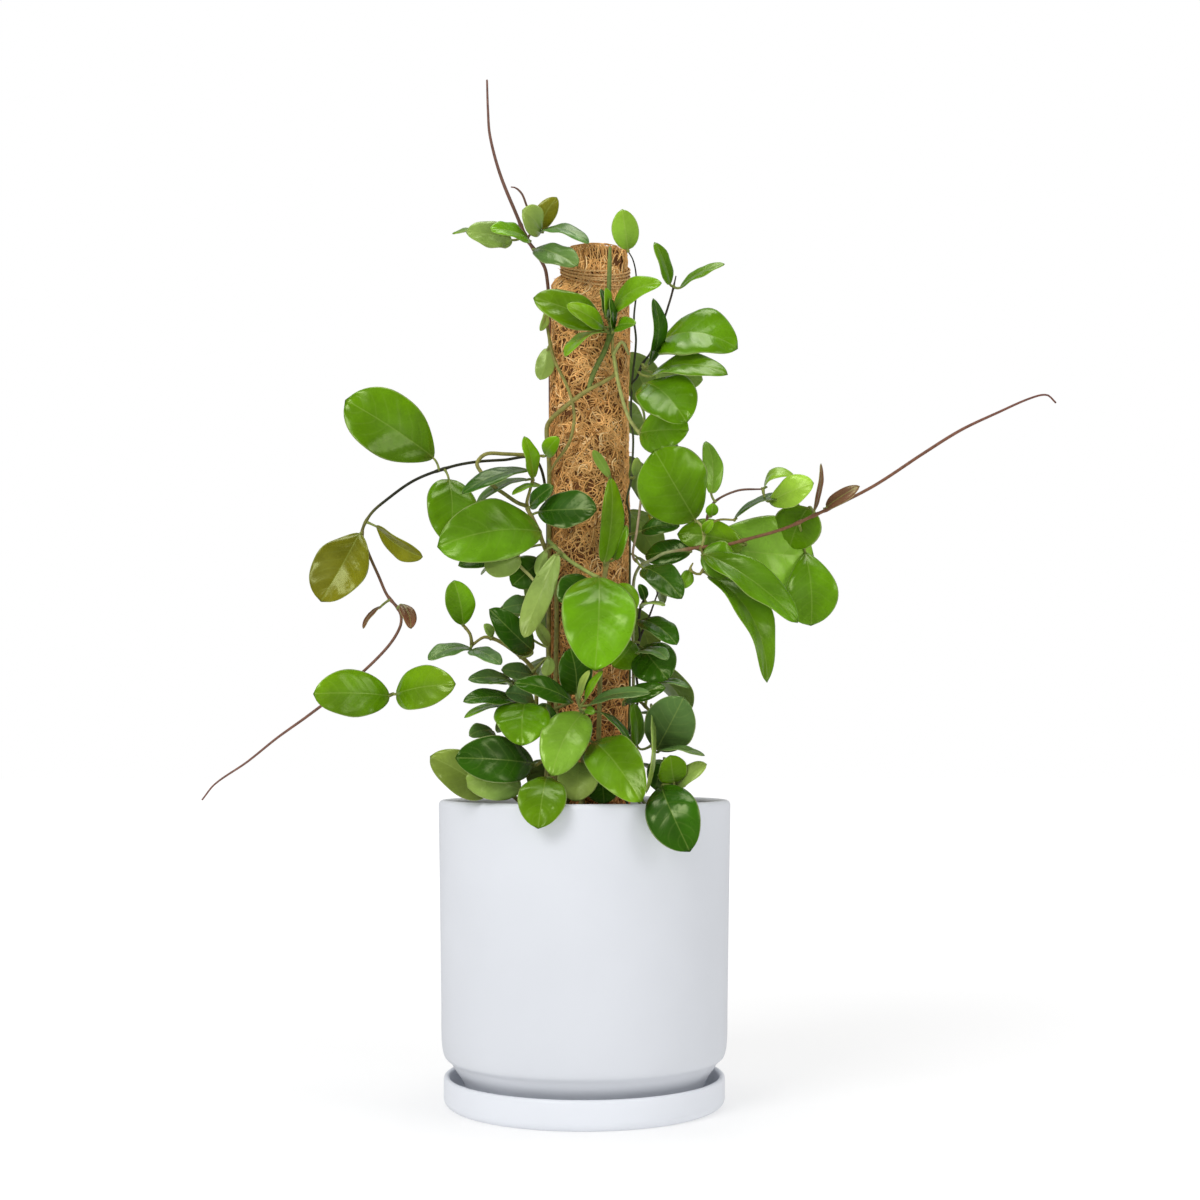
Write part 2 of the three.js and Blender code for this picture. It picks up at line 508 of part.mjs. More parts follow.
// A leaf: its stalk and its blade in one, from cross sections of four points, which are the two edges and
// the midrib's upper and lower faces. The midrib bows towards the upper face by the arch, and each half rises
// from it by the fold, an angle in degrees. The stalk starts at root, inside the stem, and turns into the
// midrib.
function leaf(root, base, tip, [width, roll, arch, fold, age, belly = 1], towards) {
  const { along, face, across } = leafAxes(base, tip, roll, towards);
  const length = base.distanceTo(tip);
  const shares = length < SMALL_LEAF ? SMALL_SECTIONS : SECTIONS;
  const half = BLADE_THICKNESS[age] / 2;
  const vertices = [];
  const stalk = base.clone().sub(root);
  const stalkLong = stalk.length() > PETIOLE_SHORTEST;
  const stalkAlong = stalkLong ? stalk.normalize() : along;
  const stalkRing = (point, direction) => {
    const ringAcross = across.clone().addScaledVector(direction, -across.dot(direction)).normalize();
    const ringFace = direction.clone().cross(ringAcross).normalize();
    [ringAcross, ringFace, ringAcross.clone().negate(), ringFace.clone().negate()].forEach((way) => {
      vertices.push(point.clone().addScaledVector(way, PETIOLE_RADIUS));
    });
  };
  const start = stalkLong ? root : base.clone().addScaledVector(along, -PETIOLE_SHORTEST);
  stalkRing(start, stalkAlong);
  stalkRing(base, stalkAlong.clone().add(along).addScaledVector(face, SAME_POINT).normalize());
  shares.forEach((share) => {
    const spread = (width / 2) * outline(share, belly);
    const rise = spread * Math.sin(THREE.MathUtils.degToRad(fold));
    const reach = spread * Math.cos(THREE.MathUtils.degToRad(fold));
    const middle = base.clone()
      .addScaledVector(along, share * length)
      .addScaledVector(face, 4 * arch * share * (1 - share) * length);
    vertices.push(
      middle.clone().addScaledVector(across, reach).addScaledVector(face, rise),
      middle.clone().addScaledVector(face, half),
      middle.clone().addScaledVector(across, -reach).addScaledVector(face, rise),
      middle.clone().addScaledVector(face, -half),
    );
  });
  vertices.push(tip.clone());
  const triangles = [[0, 2, 1], [0, 3, 2]];
  const end = vertices.length - 1;
  const lastRing = end - 4;
  for (let k = 0; k < 4; k += 1) {
    const n = (k + 1) % 4;
    triangles.push([end, lastRing + k, lastRing + n]);
    for (let ring = 0; ring < lastRing; ring += 4) {
      const [a, b, c, d] = [ring + k, ring + n, ring + 4 + n, ring + 4 + k];
      // both faces are split alike, from the edge to the midrib
      if (k % 2 === 0) triangles.push([a, b, c], [a, c, d]);
      else triangles.push([a, b, d], [b, c, d]);
    }
  }
  return solidFrom(vertices, triangles);
}

// The part of a stem that stands in the soil and climbs the pole, to a height
function climb([turn, height, endTurn = turn]) {
  const clear = POLE.radius + STEM_ROOT.clear;
  const around = (radius, z, share = 0) => {
    const angle = THREE.MathUtils.degToRad(turn + (endTurn - turn) * share);
    return new THREE.Vector3(POLE_X + radius * Math.cos(angle), radius * Math.sin(angle), z);
  };
  if (height === null) {
    return [
      around(RIM_ROOT.radius, STEM_ROOT.z),
      around(RIM_ROOT.radius + RIM_ROOT.lean, SOIL_TOP + RIM_ROOT.outZ),
    ];
  }
  const points = [
    around(STEM_ROOT.radius, STEM_ROOT.z),
    around(STEM_ROOT.radius - STEM_ROOT.lean, SOIL_TOP + STEM_ROOT.outZ),
  ];
  const start = SOIL_TOP + STEM_ROOT.leanIn;
  const steps = Math.max(1, Math.round((height - start) / STEM_ROOT.step));
  for (let i = 0; i <= steps; i += 1) {
    points.push(around(clear, start + ((height - start) * i) / steps, i / steps));
  }
  return points;
}

function stem([radius, start, path]) {
  const points = [...(start ? climb(start) : []), ...path.map(seen)];
  const radii = points.map((_, i) => (i === points.length - 1 ? radius * STEM_END : radius));
  return { points, radius, solid: tube(points, radii, STEM_SIDES) };
}

// The nearest point to a leaf's base on a vine's stems
function nearestOn(stems, base) {
  let best = null;
  stems.forEach(({ points }) => {
    for (let i = 0; i + 1 < points.length; i += 1) {
      const line = new THREE.Line3(points[i], points[i + 1]);
      const point = line.closestPointToPoint(base, true, new THREE.Vector3());
      const distance = point.distanceTo(base);
      if (!best || distance < best.distance) best = { point, distance };
    }
  });
  return best.point;
}

// A leaf on the nearest stem of its vine
function leafOn(stems, base, tip, form, towards) {
  return leaf(nearestOn(stems, base), base, tip, form, towards);
}

function vine(stemRows, leafRows) {
  const stems = stemRows.map(stem);
  const leaves = leafRows.map(([from, to, ...form]) => leafOn(stems, seen(from), seen(to), form));
  return joined([...stems.map((s) => s.solid), ...leaves]);
}

// A stem on the back of the pole, with leaves in pairs that point out and hang down, facing up and out
function backVine({ turn, endTurn, top, seed }) {
  const draw = drawFrom(seed);
  const between = ([low, high]) => low + (high - low) * draw();
  const points = climb([turn, top, endTurn]);
  const stems = [{ points, solid: tube(points, points.map(() => BACK.stemRadius), STEM_SIDES) }];
  const leaves = [];
  for (let z = BACK.firstNode; z < top; z += between(BACK.rise)) {
    const stemTurn = turn + ((endTurn - turn) * (z - BACK.firstNode)) / (top - BACK.firstNode);
    [-1, 1].forEach((hand) => {
      const angle = THREE.MathUtils.degToRad(stemTurn + hand * between(BACK.spread));
      const out = new THREE.Vector3(Math.cos(angle), Math.sin(angle), 0);
      const length = between(BACK.length);
      const droop = THREE.MathUtils.degToRad(between(BACK.droop));
      const base = out.clone().multiplyScalar(POLE.radius + STEM_ROOT.clear + between(BACK.petiole));
      base.add(new THREE.Vector3(POLE_X, 0, z + BACK.lift));
      const tip = base.clone().addScaledVector(out, length * Math.cos(droop));
      tip.z -= length * Math.sin(droop);
      const towards = out.clone().setZ(1).normalize();
      const roll = BACK.roll * (2 * draw() - 1);
      const form = [BACK.shape * length, roll, BACK.arch, BACK.fold, BACK.age];
      leaves.push(leafOn(stems, base, tip, form, towards));
    });
  }
  return joined([stems[0].solid, ...leaves]);
}

// An arc of a profile round a centre, from one angle to another in degrees
function arc(x, z, radius, from, to, steps) {
  return Array.from({ length: steps + 1 }, (_, i) => {
    const angle = THREE.MathUtils.degToRad(from + ((to - from) * i) / steps);
    return [x + radius * Math.cos(angle), z + radius * Math.sin(angle)];
  });
}

// The saucer: a flat floor with a raised middle, a rounded foot and an upright wall with a rounded rim
function saucer() {
  const { radius, height, wall, floor, foot, cove } = SAUCER;
  const lip = wall / 2;
  return turned([
    [0, 0],
    ...arc(radius - foot, foot, foot, -90, 0, 3),
    ...arc(radius - lip, height - lip, lip, 0, 180, 4),
    ...arc(radius - wall - cove, floor + cove, cove, 0, -90, 2),
    [SAUCER_STEP.radius, floor],
    [SAUCER_STEP.radius - SAUCER_STEP.run, floor + SAUCER_STEP.height],
    [0, floor + SAUCER_STEP.height],
  ]);
}

// The pot, open at the top, with a drain hole through its floor
function pot() {
  const { topRadius, height, wall, floor, drainRadius } = POT;
  const lip = wall / 2;
  const profile = [
    ...POT_FOOT_LINE,
    ...arc(topRadius - lip, height - lip, lip, 0, 180, 4),
    [POT_INSIDE.lowRadius, POT_INSIDE.lowZ],
    [POT_INSIDE.baseRadius, POT_BASE_Z + floor],
    [drainRadius, POT_BASE_Z + floor],
    [drainRadius, POT_BASE_Z],
  ];
  return turned([...profile, profile[0]]);
}

// The radius of the pot's inner wall at a height
function potInsideAt(z) {
  const rise = (z - POT_INSIDE.lowZ) / (POT.height - POT.wall / 2 - POT_INSIDE.lowZ);
  return POT_INSIDE.lowRadius + rise * (POT.topRadius - POT.wall - POT_INSIDE.lowRadius);
}

// The soil: it fills the pot, slightly heaped, with a deep hole for the pole and a shallow one for each stem
function soil(stems) {
  const bottom = POT_BASE_Z + POT.floor + GAP;
  const rimZ = SOIL_TOP - SOIL.rimDrop;
  const heap = [SOIL.crest, SOIL.dip].map(([radius, rise]) => [radius, SOIL_TOP + rise]);
  let body = turned([
    [0, bottom],
    [POT_INSIDE.baseRadius - SOIL.clear, bottom],
    [POT_INSIDE.lowRadius - SOIL.clear, POT_INSIDE.lowZ + 2 * SOIL.clear],
    [potInsideAt(rimZ) - SOIL.clear, rimZ],
    ...heap,
    [0, SOIL_TOP],
  ]);
  const holeRadius = POLE.radius + POLE.relief + GAP;
  const hole = new THREE.CylinderGeometry(holeRadius, holeRadius, SOIL_TOP, ROUND_SIDES);
  hole.rotateX(Math.PI / 2);
  hole.translate(POLE_X, 0, SOIL_TOP / 2 + POLE.bottomZ - GAP);
  body = body.subtract(solidOf(hole));
  stems.forEach(({ points, radius }) => {
    const root = points[0].clone();
    const out = points[1].clone();
    const along = out.clone().sub(root).normalize();
    root.addScaledVector(along, -STEM_HOLE.below);
    out.addScaledVector(along, STEM_HOLE.above);
    const wide = radius + STEM_HOLE.clear;
    body = body.subtract(tube([root, out], [wide, wide], STEM_SIDES));
  });
  return body;
}

// The coir wrap: a column with a lumpy surface, drawn in by the tie, open below where the stake goes in
function coirWrap() {
  const { radius: wide, bottomZ, straightZ, topZ, relief, sides, levels: count } = POLE;
  const straight = Array.from({ length: count }, (_, i) => (
    [bottomZ + ((straightZ - bottomZ) * i) / (count - 1), wide, 0, 0]
  ));
  const levels = [...straight, ...NECK];
  const vertices = [];
  const triangles = [];
  levels.forEach(([z, radius, aside, tilt], level) => {
    const calm = level < count ? 1 : NECK_CALM;
    for (let k = 0; k < sides; k += 1) {
      const angle = (2 * Math.PI * k) / sides;
      const lump = LUMP_WAVES.reduce((sum, [round, up, phase, share]) => (
        sum + share * Math.sin(round * k + up * level + phase)
      ), 0);
      const r = radius + calm * relief * (lump - LUMP_SINK);
      const [x, y] = [r * Math.cos(angle), r * Math.sin(angle)];
      const ragged = level === levels.length - 1 ? CROWN.raggedness * Math.sin(CROWN.step * k) : 0;
      const tilted = tilt * (TILT.forward * y - TILT.right * x);
      vertices.push(new THREE.Vector3(POLE_X + aside + x, y, z + tilted + ragged));
    }
  });
  const last = (levels.length - 1) * sides;
  for (let i = 0; i < last; i += sides) {
    for (let k = 0; k < sides; k += 1) {
      const n = (k + 1) % sides;
      triangles.push([i + k, i + n, i + sides + n], [i + k, i + sides + n, i + sides + k]);
    }
  }
  const foot = vertices.push(new THREE.Vector3(POLE_X, 0, bottomZ)) - 1;
  const crown = vertices.push(new THREE.Vector3(TIE.x, 0, topZ - CROWN.dish)) - 1;
  for (let k = 0; k < sides; k += 1) {
    const n = (k + 1) % sides;
    triangles.push([foot, n, k], [crown, last + k, last + n]);
  }
  const hole = new THREE.BoxGeometry(STAKE.width + 2 * GAP, STAKE.width + 2 * GAP, STAKE.topZ + GAP);
  hole.translate(POLE_X, 0, (STAKE.topZ + GAP) / 2);
  return solidFrom(vertices, triangles).subtract(solidOf(hole));
}

function stake() {
  const length = STAKE.topZ - STAKE.bottomZ;
  const bar = new THREE.BoxGeometry(STAKE.width, STAKE.width, length);
  bar.translate(POLE_X, 0, STAKE.bottomZ + length / 2);
  return solidOf(bar);
}

// The tie: a few turns of cord side by side, as one ring with a rounded ridge for each turn
function tieBand() {
  const { strands, strandRadius, overlap, radius, sides, ridgeAngle } = TIE;
  const step = 2 * strandRadius * overlap;
  const tall = strands * step;
  const edge = strandRadius / 4;
  const ridges = Array.from({ length: strands }, (_, i) => (
    arc(radius + strandRadius, (i + 0.5) * step, strandRadius, -ridgeAngle, ridgeAngle, 1)
  )).flat();
  const profile = [[radius, edge], ...ridges, [radius, tall - edge]];
  const ring = turned([...profile, profile[0]], sides).translate([0, 0, TIE.z - tall / 2]);
  return ring.warp((point) => {
    point[2] += TILT.forward * point[1] - TILT.right * point[0];
    point[0] += TIE.x;
  });
}

const hoya = new THREE.Group();
const rootedStems = [];

Object.values(VINES).forEach(({ stems }) => rootedStems.push(stem(stems[0])));
Object.values(BACK_VINES).forEach(({ turn, top, endTurn }) => {
  rootedStems.push({ points: climb([turn, top, endTurn]), radius: BACK.stemRadius });
});

hoya.add(nodeFrom('saucer', saucer(), COLOURS.saucer));
hoya.add(nodeFrom('pot', pot(), COLOURS.pot));
hoya.add(nodeFrom('soil', soil(rootedStems), COLOURS.soil));
hoya.add(nodeFrom('stake', stake(), COLOURS.stake));
hoya.add(nodeFrom('coir_wrap', coirWrap(), COLOURS.coir_wrap));
hoya.add(nodeFrom('tie_band', tieBand(), COLOURS.tie_band));
Object.entries(VINES).forEach(([name, { stems, leaves }]) => {
  hoya.add(nodeFrom(name, vine(stems, leaves), COLOURS.vine));
});
Object.entries(BACK_VINES).forEach(([name, rule]) => {
  hoya.add(nodeFrom(name, backVine(rule), COLOURS.vine));
});

export default hoya;
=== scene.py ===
import math

import bpy
import numpy as np
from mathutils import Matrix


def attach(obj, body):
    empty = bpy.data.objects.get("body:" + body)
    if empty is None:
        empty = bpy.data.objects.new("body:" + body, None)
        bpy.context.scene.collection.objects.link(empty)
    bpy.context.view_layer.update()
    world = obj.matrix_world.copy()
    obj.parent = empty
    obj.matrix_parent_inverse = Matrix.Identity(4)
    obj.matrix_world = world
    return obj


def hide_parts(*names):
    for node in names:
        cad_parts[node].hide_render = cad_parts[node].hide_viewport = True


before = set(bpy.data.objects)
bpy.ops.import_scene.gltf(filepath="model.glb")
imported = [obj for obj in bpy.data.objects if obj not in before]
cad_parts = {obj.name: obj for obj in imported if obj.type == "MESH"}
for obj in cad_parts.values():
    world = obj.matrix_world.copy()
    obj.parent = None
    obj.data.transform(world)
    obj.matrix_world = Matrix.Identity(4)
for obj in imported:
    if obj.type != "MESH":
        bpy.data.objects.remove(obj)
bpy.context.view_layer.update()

# A hoya that climbs a coir-wrapped pole, in a white pot on its saucer. Lengths are millimetres until a
# mesh is made. +Z is up, and the front is seen along +Y. The origin is the middle of the saucer's
# underside.
MM = 0.001

# The front view in which the stems and leaves are listed: a square frame of 1200 points, seen from in
# front of the plant, looking up a little. A place in the view and a depth, y, give a point of the
# plant.
VIEW = {"distance": 1544.4, "height": 303.1, "side": 13.2, "pitch": 0.0808, "focal": 1785.15, "centre": 600}
SENSOR = 36.0

POLE_X = 4
POLE_RADIUS = 34
POLE_BOTTOM, POLE_TOP = 70, 735
# The coir wrap is drawn in by its tie. Each level is a height, a radius, how far its middle is off the
# pole's to the right, and its share of the tie's tilt, which is down to the front and to the right.
WRAP_LEVELS = np.array([
    (POLE_BOTTOM, 34, 0, 0), (674, 34, 0, 0), (704, 33.4, 0.4, 1), (709, 31, 2.5, 1), (711.5, 28.2, 5, 1),
    (728, 28, 5, 0.5), (POLE_TOP, 27.4, 5, 0),
])
TILT_FORWARD, TILT_RIGHT = 0.45, 0.1
TIE_X, TIE_Z = POLE_X + 5, 717.5
SOIL_TOP = 232
POT_BASE_Z = 6.9
# A stem stands in the soil at a radius, or nearer the rim where it stays low, and leaves it by an exit,
# which is a step out and a step up. It then leans in, and climbs clear of the pole in steps.
STEM_ROOT = {
    "radius": 62, "exit": (-6, 6), "rimRadius": 78, "rimExit": (4, 10), "z": 204,
    "clear": 4.3, "leanIn": 40, "step": 80,
}
PETIOLE_RADIUS = 1.15
SMALL_LEAF = 40

# Tones as they are seen, red, green and blue from 0 to 255
LEAF_TONES = {
    "lime": (98, 146, 8),
    "bright": (124, 166, 46),
    "fresh": (92, 142, 12),
    "green": (86, 130, 2),
    "dark": (40, 82, 4),
    "pale": (132, 160, 74),
    "olive": (110, 108, 8),
    "moss": (114, 134, 50),
    "cool": (74, 108, 52),
    "brown": (106, 70, 52),
}
STEM_TONES = {
    "brown": [(0, (96, 76, 50)), (1, (112, 78, 66))],
    "black": [(0, (44, 50, 30)), (1, (60, 52, 40))],
    "climber": [(0, (92, 104, 46)), (1, (40, 46, 28))],
    "runner": [(0, (60, 66, 34)), (0.59, (44, 44, 24)), (0.62, (104, 104, 44)), (0.68, (118, 84, 64)),
               (1, (122, 84, 72))],
    "pale_runner": [(0, (84, 96, 44)), (0.37, (158, 168, 118)), (0.45, (148, 156, 104)),
                    (0.48, (126, 88, 56)), (1, (112, 70, 58))],
    "pink_straw": [(0, (176, 156, 128)), (1, (150, 130, 96))],
    "olive": [(0, (120, 120, 54)), (1, (142, 136, 70))],
    "green": [(0, (80, 104, 34)), (1, (112, 128, 60))],
    "straw": [(0, (150, 158, 84)), (1, (170, 172, 104))],
    "cream_tip": [(0, (112, 132, 56)), (0.55, (150, 162, 84)), (0.78, (204, 196, 130)),
                  (1, (226, 208, 156))],
}
PETIOLE_TONE = (128, 138, 66)
RIM_TONE = (190, 202, 128)
UNDERSIDE_TONE = (140, 166, 84)
# The tone of a painted sheen: a pale patch painted on a blade in place of a highlight
PAINTED_SHEEN_TONE = (186, 214, 158)
# How much of the rim's and the underside's tone a blade takes there
RIM_SHARE, UNDERSIDE_SHARE = 0.6, 0.55
VEIN_TONE = (168, 190, 96)
CORE_TONE = (112, 72, 40)
# The coir's fibres: tan, with redder, darker and straw ones, and the share of each
FIBRE_TONES = [(236, 186, 118), (222, 168, 100), (200, 146, 82), (246, 210, 152), (156, 108, 56)]
FIBRE_SHARES = [0.34, 0.3, 0.2, 0.08, 0.08]

# A vine has stems and leaves. A stem is a radius, then a climb and a path. A climb is the turn round
# the pole in degrees, 0 at the right and 90 at the back, the height that it ends at, or None, and,
# where it winds, the turn that it ends at. A path is points of the view with a depth. A leaf is its
# base, its tip, its full width, its roll, its arch, its fold, its age and, where it isn't 1, its belly:
# above 1 the blade is widest nearer its tip, below 1 nearer its base. Roll 0 turns the upper face to
# the viewer, more tips it up, and 180 shows the underside.
VINES = {
    "vine_top_left": {
        "stems": [
            [1.6, [142, 676, 158], [[546, 272, -6], [537, 254, -12], [527, 239, -16], [517, 216, -20],
              [500, 174, -24], [490, 136, -26], [488, 111, -24], [487, 80, -20]]],
            [1.0, None, [[527, 239, -16], [532, 230, -18], [530, 216, -20], [526, 204, -24],
              [522, 194, -28], [516, 188, -30], [511, 187, -32]]],
        ],
        "leaves": [
            [[500, 236, -10], [452, 234, -34], 22, 70, 0.08, 10, "green"],
            [[512, 240, -24], [466, 233, -54], 28, 15, 0.1, 12, "pale"],
            [[529, 240, -30], [490, 230, -66], 22, 30, 0.1, 14, "lime"],
            [[541, 232, -24], [522, 210, -54], 27, 18, 0.1, 10, "pale", 1.1],
            [[539, 229, -14], [557, 197, -30], 19, 0, 0.1, 8, "olive"],
            [[541, 232, -20], [589, 244, -52], 21, 44, 0.15, 10, "cool"],
            [[535, 249, -26], [578, 266, -62], 26, 22, 0.1, 8, "cool", 1.15],
        ],
    },
    "vine_pole": {
        "stems": [
            [2.1, [205, 545], [[547, 440, -20], [548, 424, -21], [565, 407, -38], [588, 390, -43],
              [605, 381, -43], [616, 372, -39], [613, 352, -41], [612, 330, -42]]],
            [2.3, None, [[612, 330, -42], [604, 352, -44], [594, 372, -44], [588, 390, -43]]],
            [1.5, None, [[613, 355, -42], [622, 342, -42], [629, 355, -38]]],
            [1.6, None, [[613, 352, -41], [619, 386, -46], [629, 418, -48], [640, 434, -47],
              [649, 447, -47]]],
            [2.0, None, [[612, 330, -42], [609, 310, -44], [609, 289, -46], [610, 247, -40]]],
            [1.4, None, [[545, 310, -20], [548, 331, -22], [554, 359, -30], [567, 386, -39],
              [573, 405, -42], [574, 422, -42], [569, 443, -40], [556, 462, -32], [548, 476, -22]]],
        ],
        "leaves": [
            [[603, 327, -46], [533, 298, -72], 38, 24, 0.12, 14, "green", 1.1],
            [[604, 328, -52], [566, 305, -88], 18, 14, 0.1, 12, "lime", 1.1],
            [[606, 318, -48], [600, 289, -64], 15, 60, 0.05, 10, "dark"],
            [[607, 318, -52], [605, 288, -74], 15, 60, 0.05, 10, "lime"],
            [[613, 331, -50], [610, 298, -70], 11, 55, 0.05, 10, "dark"],
            [[614, 308, -50], [662, 283, -76], 28, 34, 0.1, 8, "lime", 0.72],
            [[618, 327, -46], [636, 324, -92], 16, 0, 0.1, 10, "green"],
            [[604, 331, -48], [565, 357, -72], 20, 55, 0.1, 10, "lime"],
            [[548, 348, -20], [540, 380, -26], 17, 180, 0.1, 10, "pale"],
            [[546, 312, -20], [540, 331, -30], 9, 40, 0.1, 10, "pale"],
        ],
    },
    "vine_right_upper": {
        "stems": [
            [1, [335, 500], [[627, 500, -30], [631, 480, -26], [633, 450, -24], [633, 435, -24],
              [631, 420, -24], [632, 383, -24], [636, 341, -20], [634, 318, -20], [636, 296, -16],
              [636, 274, -16], [633, 260, -24], [628, 251, -32]]],
            [1, None, [[632, 383, -24], [637, 377, -28], [643, 363, -30], [652, 351, -30],
              [659, 334, -26], [671, 297, -20], [676, 276, -18]]],
            [1.1, None, [[632, 385, -24], [635, 396, -30], [643, 410, -38], [645, 424, -46]]],
        ],
        "leaves": [
            [[670, 285, -20], [654, 242, -34], 20, 45, 0.1, 12, "green"],
            [[680, 288, -20], [725, 264, -34], 20, 55, 0.1, 12, "green"],
            [[648, 366, -40], [653, 298, -66], 22, 55, 0.12, 14, "dark"],
            [[661, 342, -34], [738, 349, -60], 63, 35, 0.22, 12, "green", 0.9],
            [[655, 355, -26], [693, 361, -42], 16, 75, 0.1, 10, "pale"],
            [[650, 376, -44], [728, 375, -86], 34, 45, 0.15, 8, "green"],
            [[655, 373, -30], [703, 380, -42], 24, 180, 0.1, 10, "pale"],
            [[646, 383, -48], [687, 423, -94], 50, 12, 0.1, 14, "green", 1.1],
            [[640, 433, -50], [689, 430, -74], 46, 20, 0.1, 10, "fresh"],
            [[652, 446, -42], [677, 447, -62], 18, 75, 0.1, 10, "dark"],
            [[656, 348, -22], [655, 331, -30], 11, 50, 0.1, 10, "dark"],
            [[628, 250, -34], [622, 209, -48], 24, 0, 0.1, 10, "bright"],
            [[635, 476, -34], [637, 457, -46], 9, 0, 0.1, 10, "pale"],
            [[641, 531, -42], [680, 526, -54], 20, 30, 0.1, 10, "dark"],
        ],
    },
    "vine_right_runner": {
        "stems": [
            [1.4, [354, 440], [[640, 566, -26], [652, 560, -36], [665, 553, -46], [695, 548, -54],
              [702, 547, -56], [725, 545, -60], [748, 539, -62], [783, 529, -64], [815, 515, -64],
              [845, 501, -64], [877, 484, -62], [924, 453, -58], [961, 430, -54], [999, 412, -50],
              [1031, 398, -46], [1047, 395, -44], [1056, 403, -44]]],
            [1.2, None, [[702, 547, -56], [704, 536, -58], [701, 525, -54], [694, 519, -52]]],
            [1.0, None, [[704, 536, -58], [712, 505, -56], [736, 491, -56], [763, 489, -58]]],
            [1.0, None, [[705, 528, -58], [718, 520, -56], [735, 520, -54]]],
            [1.1, None, [[700, 547, -56], [705, 561, -60], [700, 574, -62], [690, 570, -62],
              [693, 563, -60]]],
            [1.1, None, [[642, 491, -48], [637, 530, -52], [633, 556, -40], [641, 566, -27]]],
        ],
        "leaves": [
            [[695, 520, -54], [654, 450, -88], 64, 5, 0.1, -8, "green", 1.15],
            [[711, 494, -56], [706, 441, -44], 19, 20, 0.1, 10, "bright", 0.9],
            [[672, 505, -34], [650, 521, -36], 22, 20, 0.1, 10, "olive"],
            [[744, 545, -48], [677, 534, -44], 30, 0, 0.08, 8, "green"],
            [[704, 533, -62], [713, 520, -72], 9, 0, 0.1, 10, "lime"],
            [[691, 552, -44], [645, 556, -24], 25, 20, 0.1, 10, "dark"],
            [[643, 568, -44], [682, 599, -86], 28, 20, 0.1, 10, "dark"],
            [[690, 571, -62], [680, 589, -76], 12, 0, 0.1, 10, "lime"],
            [[764, 488, -58], [795, 476, -70], 16, 50, 0.36, 5, "bright"],
            [[769, 502, -60], [814, 483, -88], 27, 18, 0.1, 8, "bright", 1.3],
            [[734, 519, -52], [800, 505, -62], 22, 66, 0.2, 5, "dark"],
            [[808, 507, -52], [790, 548, -34], 42, 10, 0.1, 8, "green", 0.9],
            [[704, 545, -42], [814, 556, -24], 66, 0, 0.1, 6, "bright", 1.25],
            [[704, 554, -62], [798, 623, -84], 38, 32, 0.12, 24, "green", 1.1],
            [[805, 552, -30], [811, 626, -28], 46, 0, 0.25, 8, "green", 1.45],
            [[709, 575, -60], [767, 683, -76], 41, 44, 0.2, 20, "green", 0.85],
            [[701, 555, -60], [736, 569, -60], 34, 10, 0.1, 8, "green"],
            [[712, 516, -60], [713, 503, -68], 11, 0, 0.1, 10, "green"],
            [[814, 512, -64], [821, 463, -76], 9, 55, 0.05, 10, "brown"],
            [[826, 508, -64], [860, 486, -86], 13, 20, 0.1, 10, "brown"],
        ],
    },
    "vine_front": {
        "stems": [
            [2.1, [282, 300], [[600, 680, -46], [601, 640, -46], [601, 600, -46], [605, 574, -44],
              [608, 540, -42], [609, 500, -42], [610, 476, -42]]],
            [1.7, None, [[548, 540, -44], [565, 557, -54], [591, 574, -58], [611, 585, -56],
              [619, 590, -58], [627, 601, -64], [634, 609, -70]]],
            [1.4, None, [[601, 600, -46], [606, 592, -52], [611, 585, -56]]],
        ],
        "leaves": [
            [[599, 577, -64], [595, 671, -104], 62, 0, 0.14, 10, "lime"],
            [[617, 584, -56], [634, 612, -72], 24, 10, 0.1, 10, "lime"],
            [[592, 582, -50], [559, 602, -70], 32, 16, 0.1, 10, "dark"],
            [[604, 563, -50], [611, 477, -62], 23, 24, 0.06, 22, "green", 0.9],
            [[610, 478, -48], [593, 450, -64], 9, 180, 0.1, 10, "lime"],
            [[614, 560, -46], [627, 525, -56], 16, 30, 0.1, 10, "green"],
            [[546, 550, -54], [538, 577, -66], 10, 180, 0.1, 10, "pale"],
            [[557, 553, -62], [524, 638, -94], 22, 175, 0.1, 12, "pale"],
        ],
    },
    "vine_left_runner": {
        "stems": [
            [1.3, [156, 520, 172], [[535, 459, -4], [503, 460, -14], [475, 462, -20], [450, 467, -24],
              [415, 480, -30], [385, 501, -36], [370, 515, -38], [362, 533, -40], [368, 552, -40],
              [379, 577, -40], [387, 595, -40], [400, 612, -42], [400, 627, -44], [385, 650, -46],
              [349, 684, -48], [309, 715, -48], [277, 738, -46], [247, 762, -44], [215, 784, -42],
              [202, 800, -42]]],
            [1.6, None, [[349, 684, -48], [368, 693, -44], [385, 696, -44], [393, 694, -46]]],
        ],
        "leaves": [
            [[434, 458, -28], [345, 400, -58], 60, 10, 0.12, 10, "green", 1.35],
            [[449, 479, -28], [450, 544, -46], 44, 14, 0.1, 8, "green", 0.9],
            [[360, 533, -42], [321, 602, -60], 48, 6, 0.1, 14, "olive", 1.3],
            [[376, 526, -38], [423, 557, -62], 25, -48, 0.04, 24, "olive", 1.25],
            [[381, 606, -42], [363, 629, -50], 8, 50, 0.1, 10, "brown"],
            [[402, 604, -46], [411, 629, -58], 14, 30, 0.1, 14, "brown"],
            [[390, 696, -50], [313, 694, -80], 41, 10, 0.1, 10, "green", 1.1],
            [[396, 694, -50], [456, 684, -86], 37, 10, 0.1, 8, "lime"],
        ],
    },
    "vine_left_mid": {
        "stems": [
            [2.0, [222, 440], [[548, 556, -38], [543, 543, -42], [536, 525, -46], [527, 506, -48],
              [530, 490, -46], [533, 480, -42]]],
            [1.7, None, [[527, 506, -48], [518, 503, -50], [506, 495, -52], [491, 484, -52],
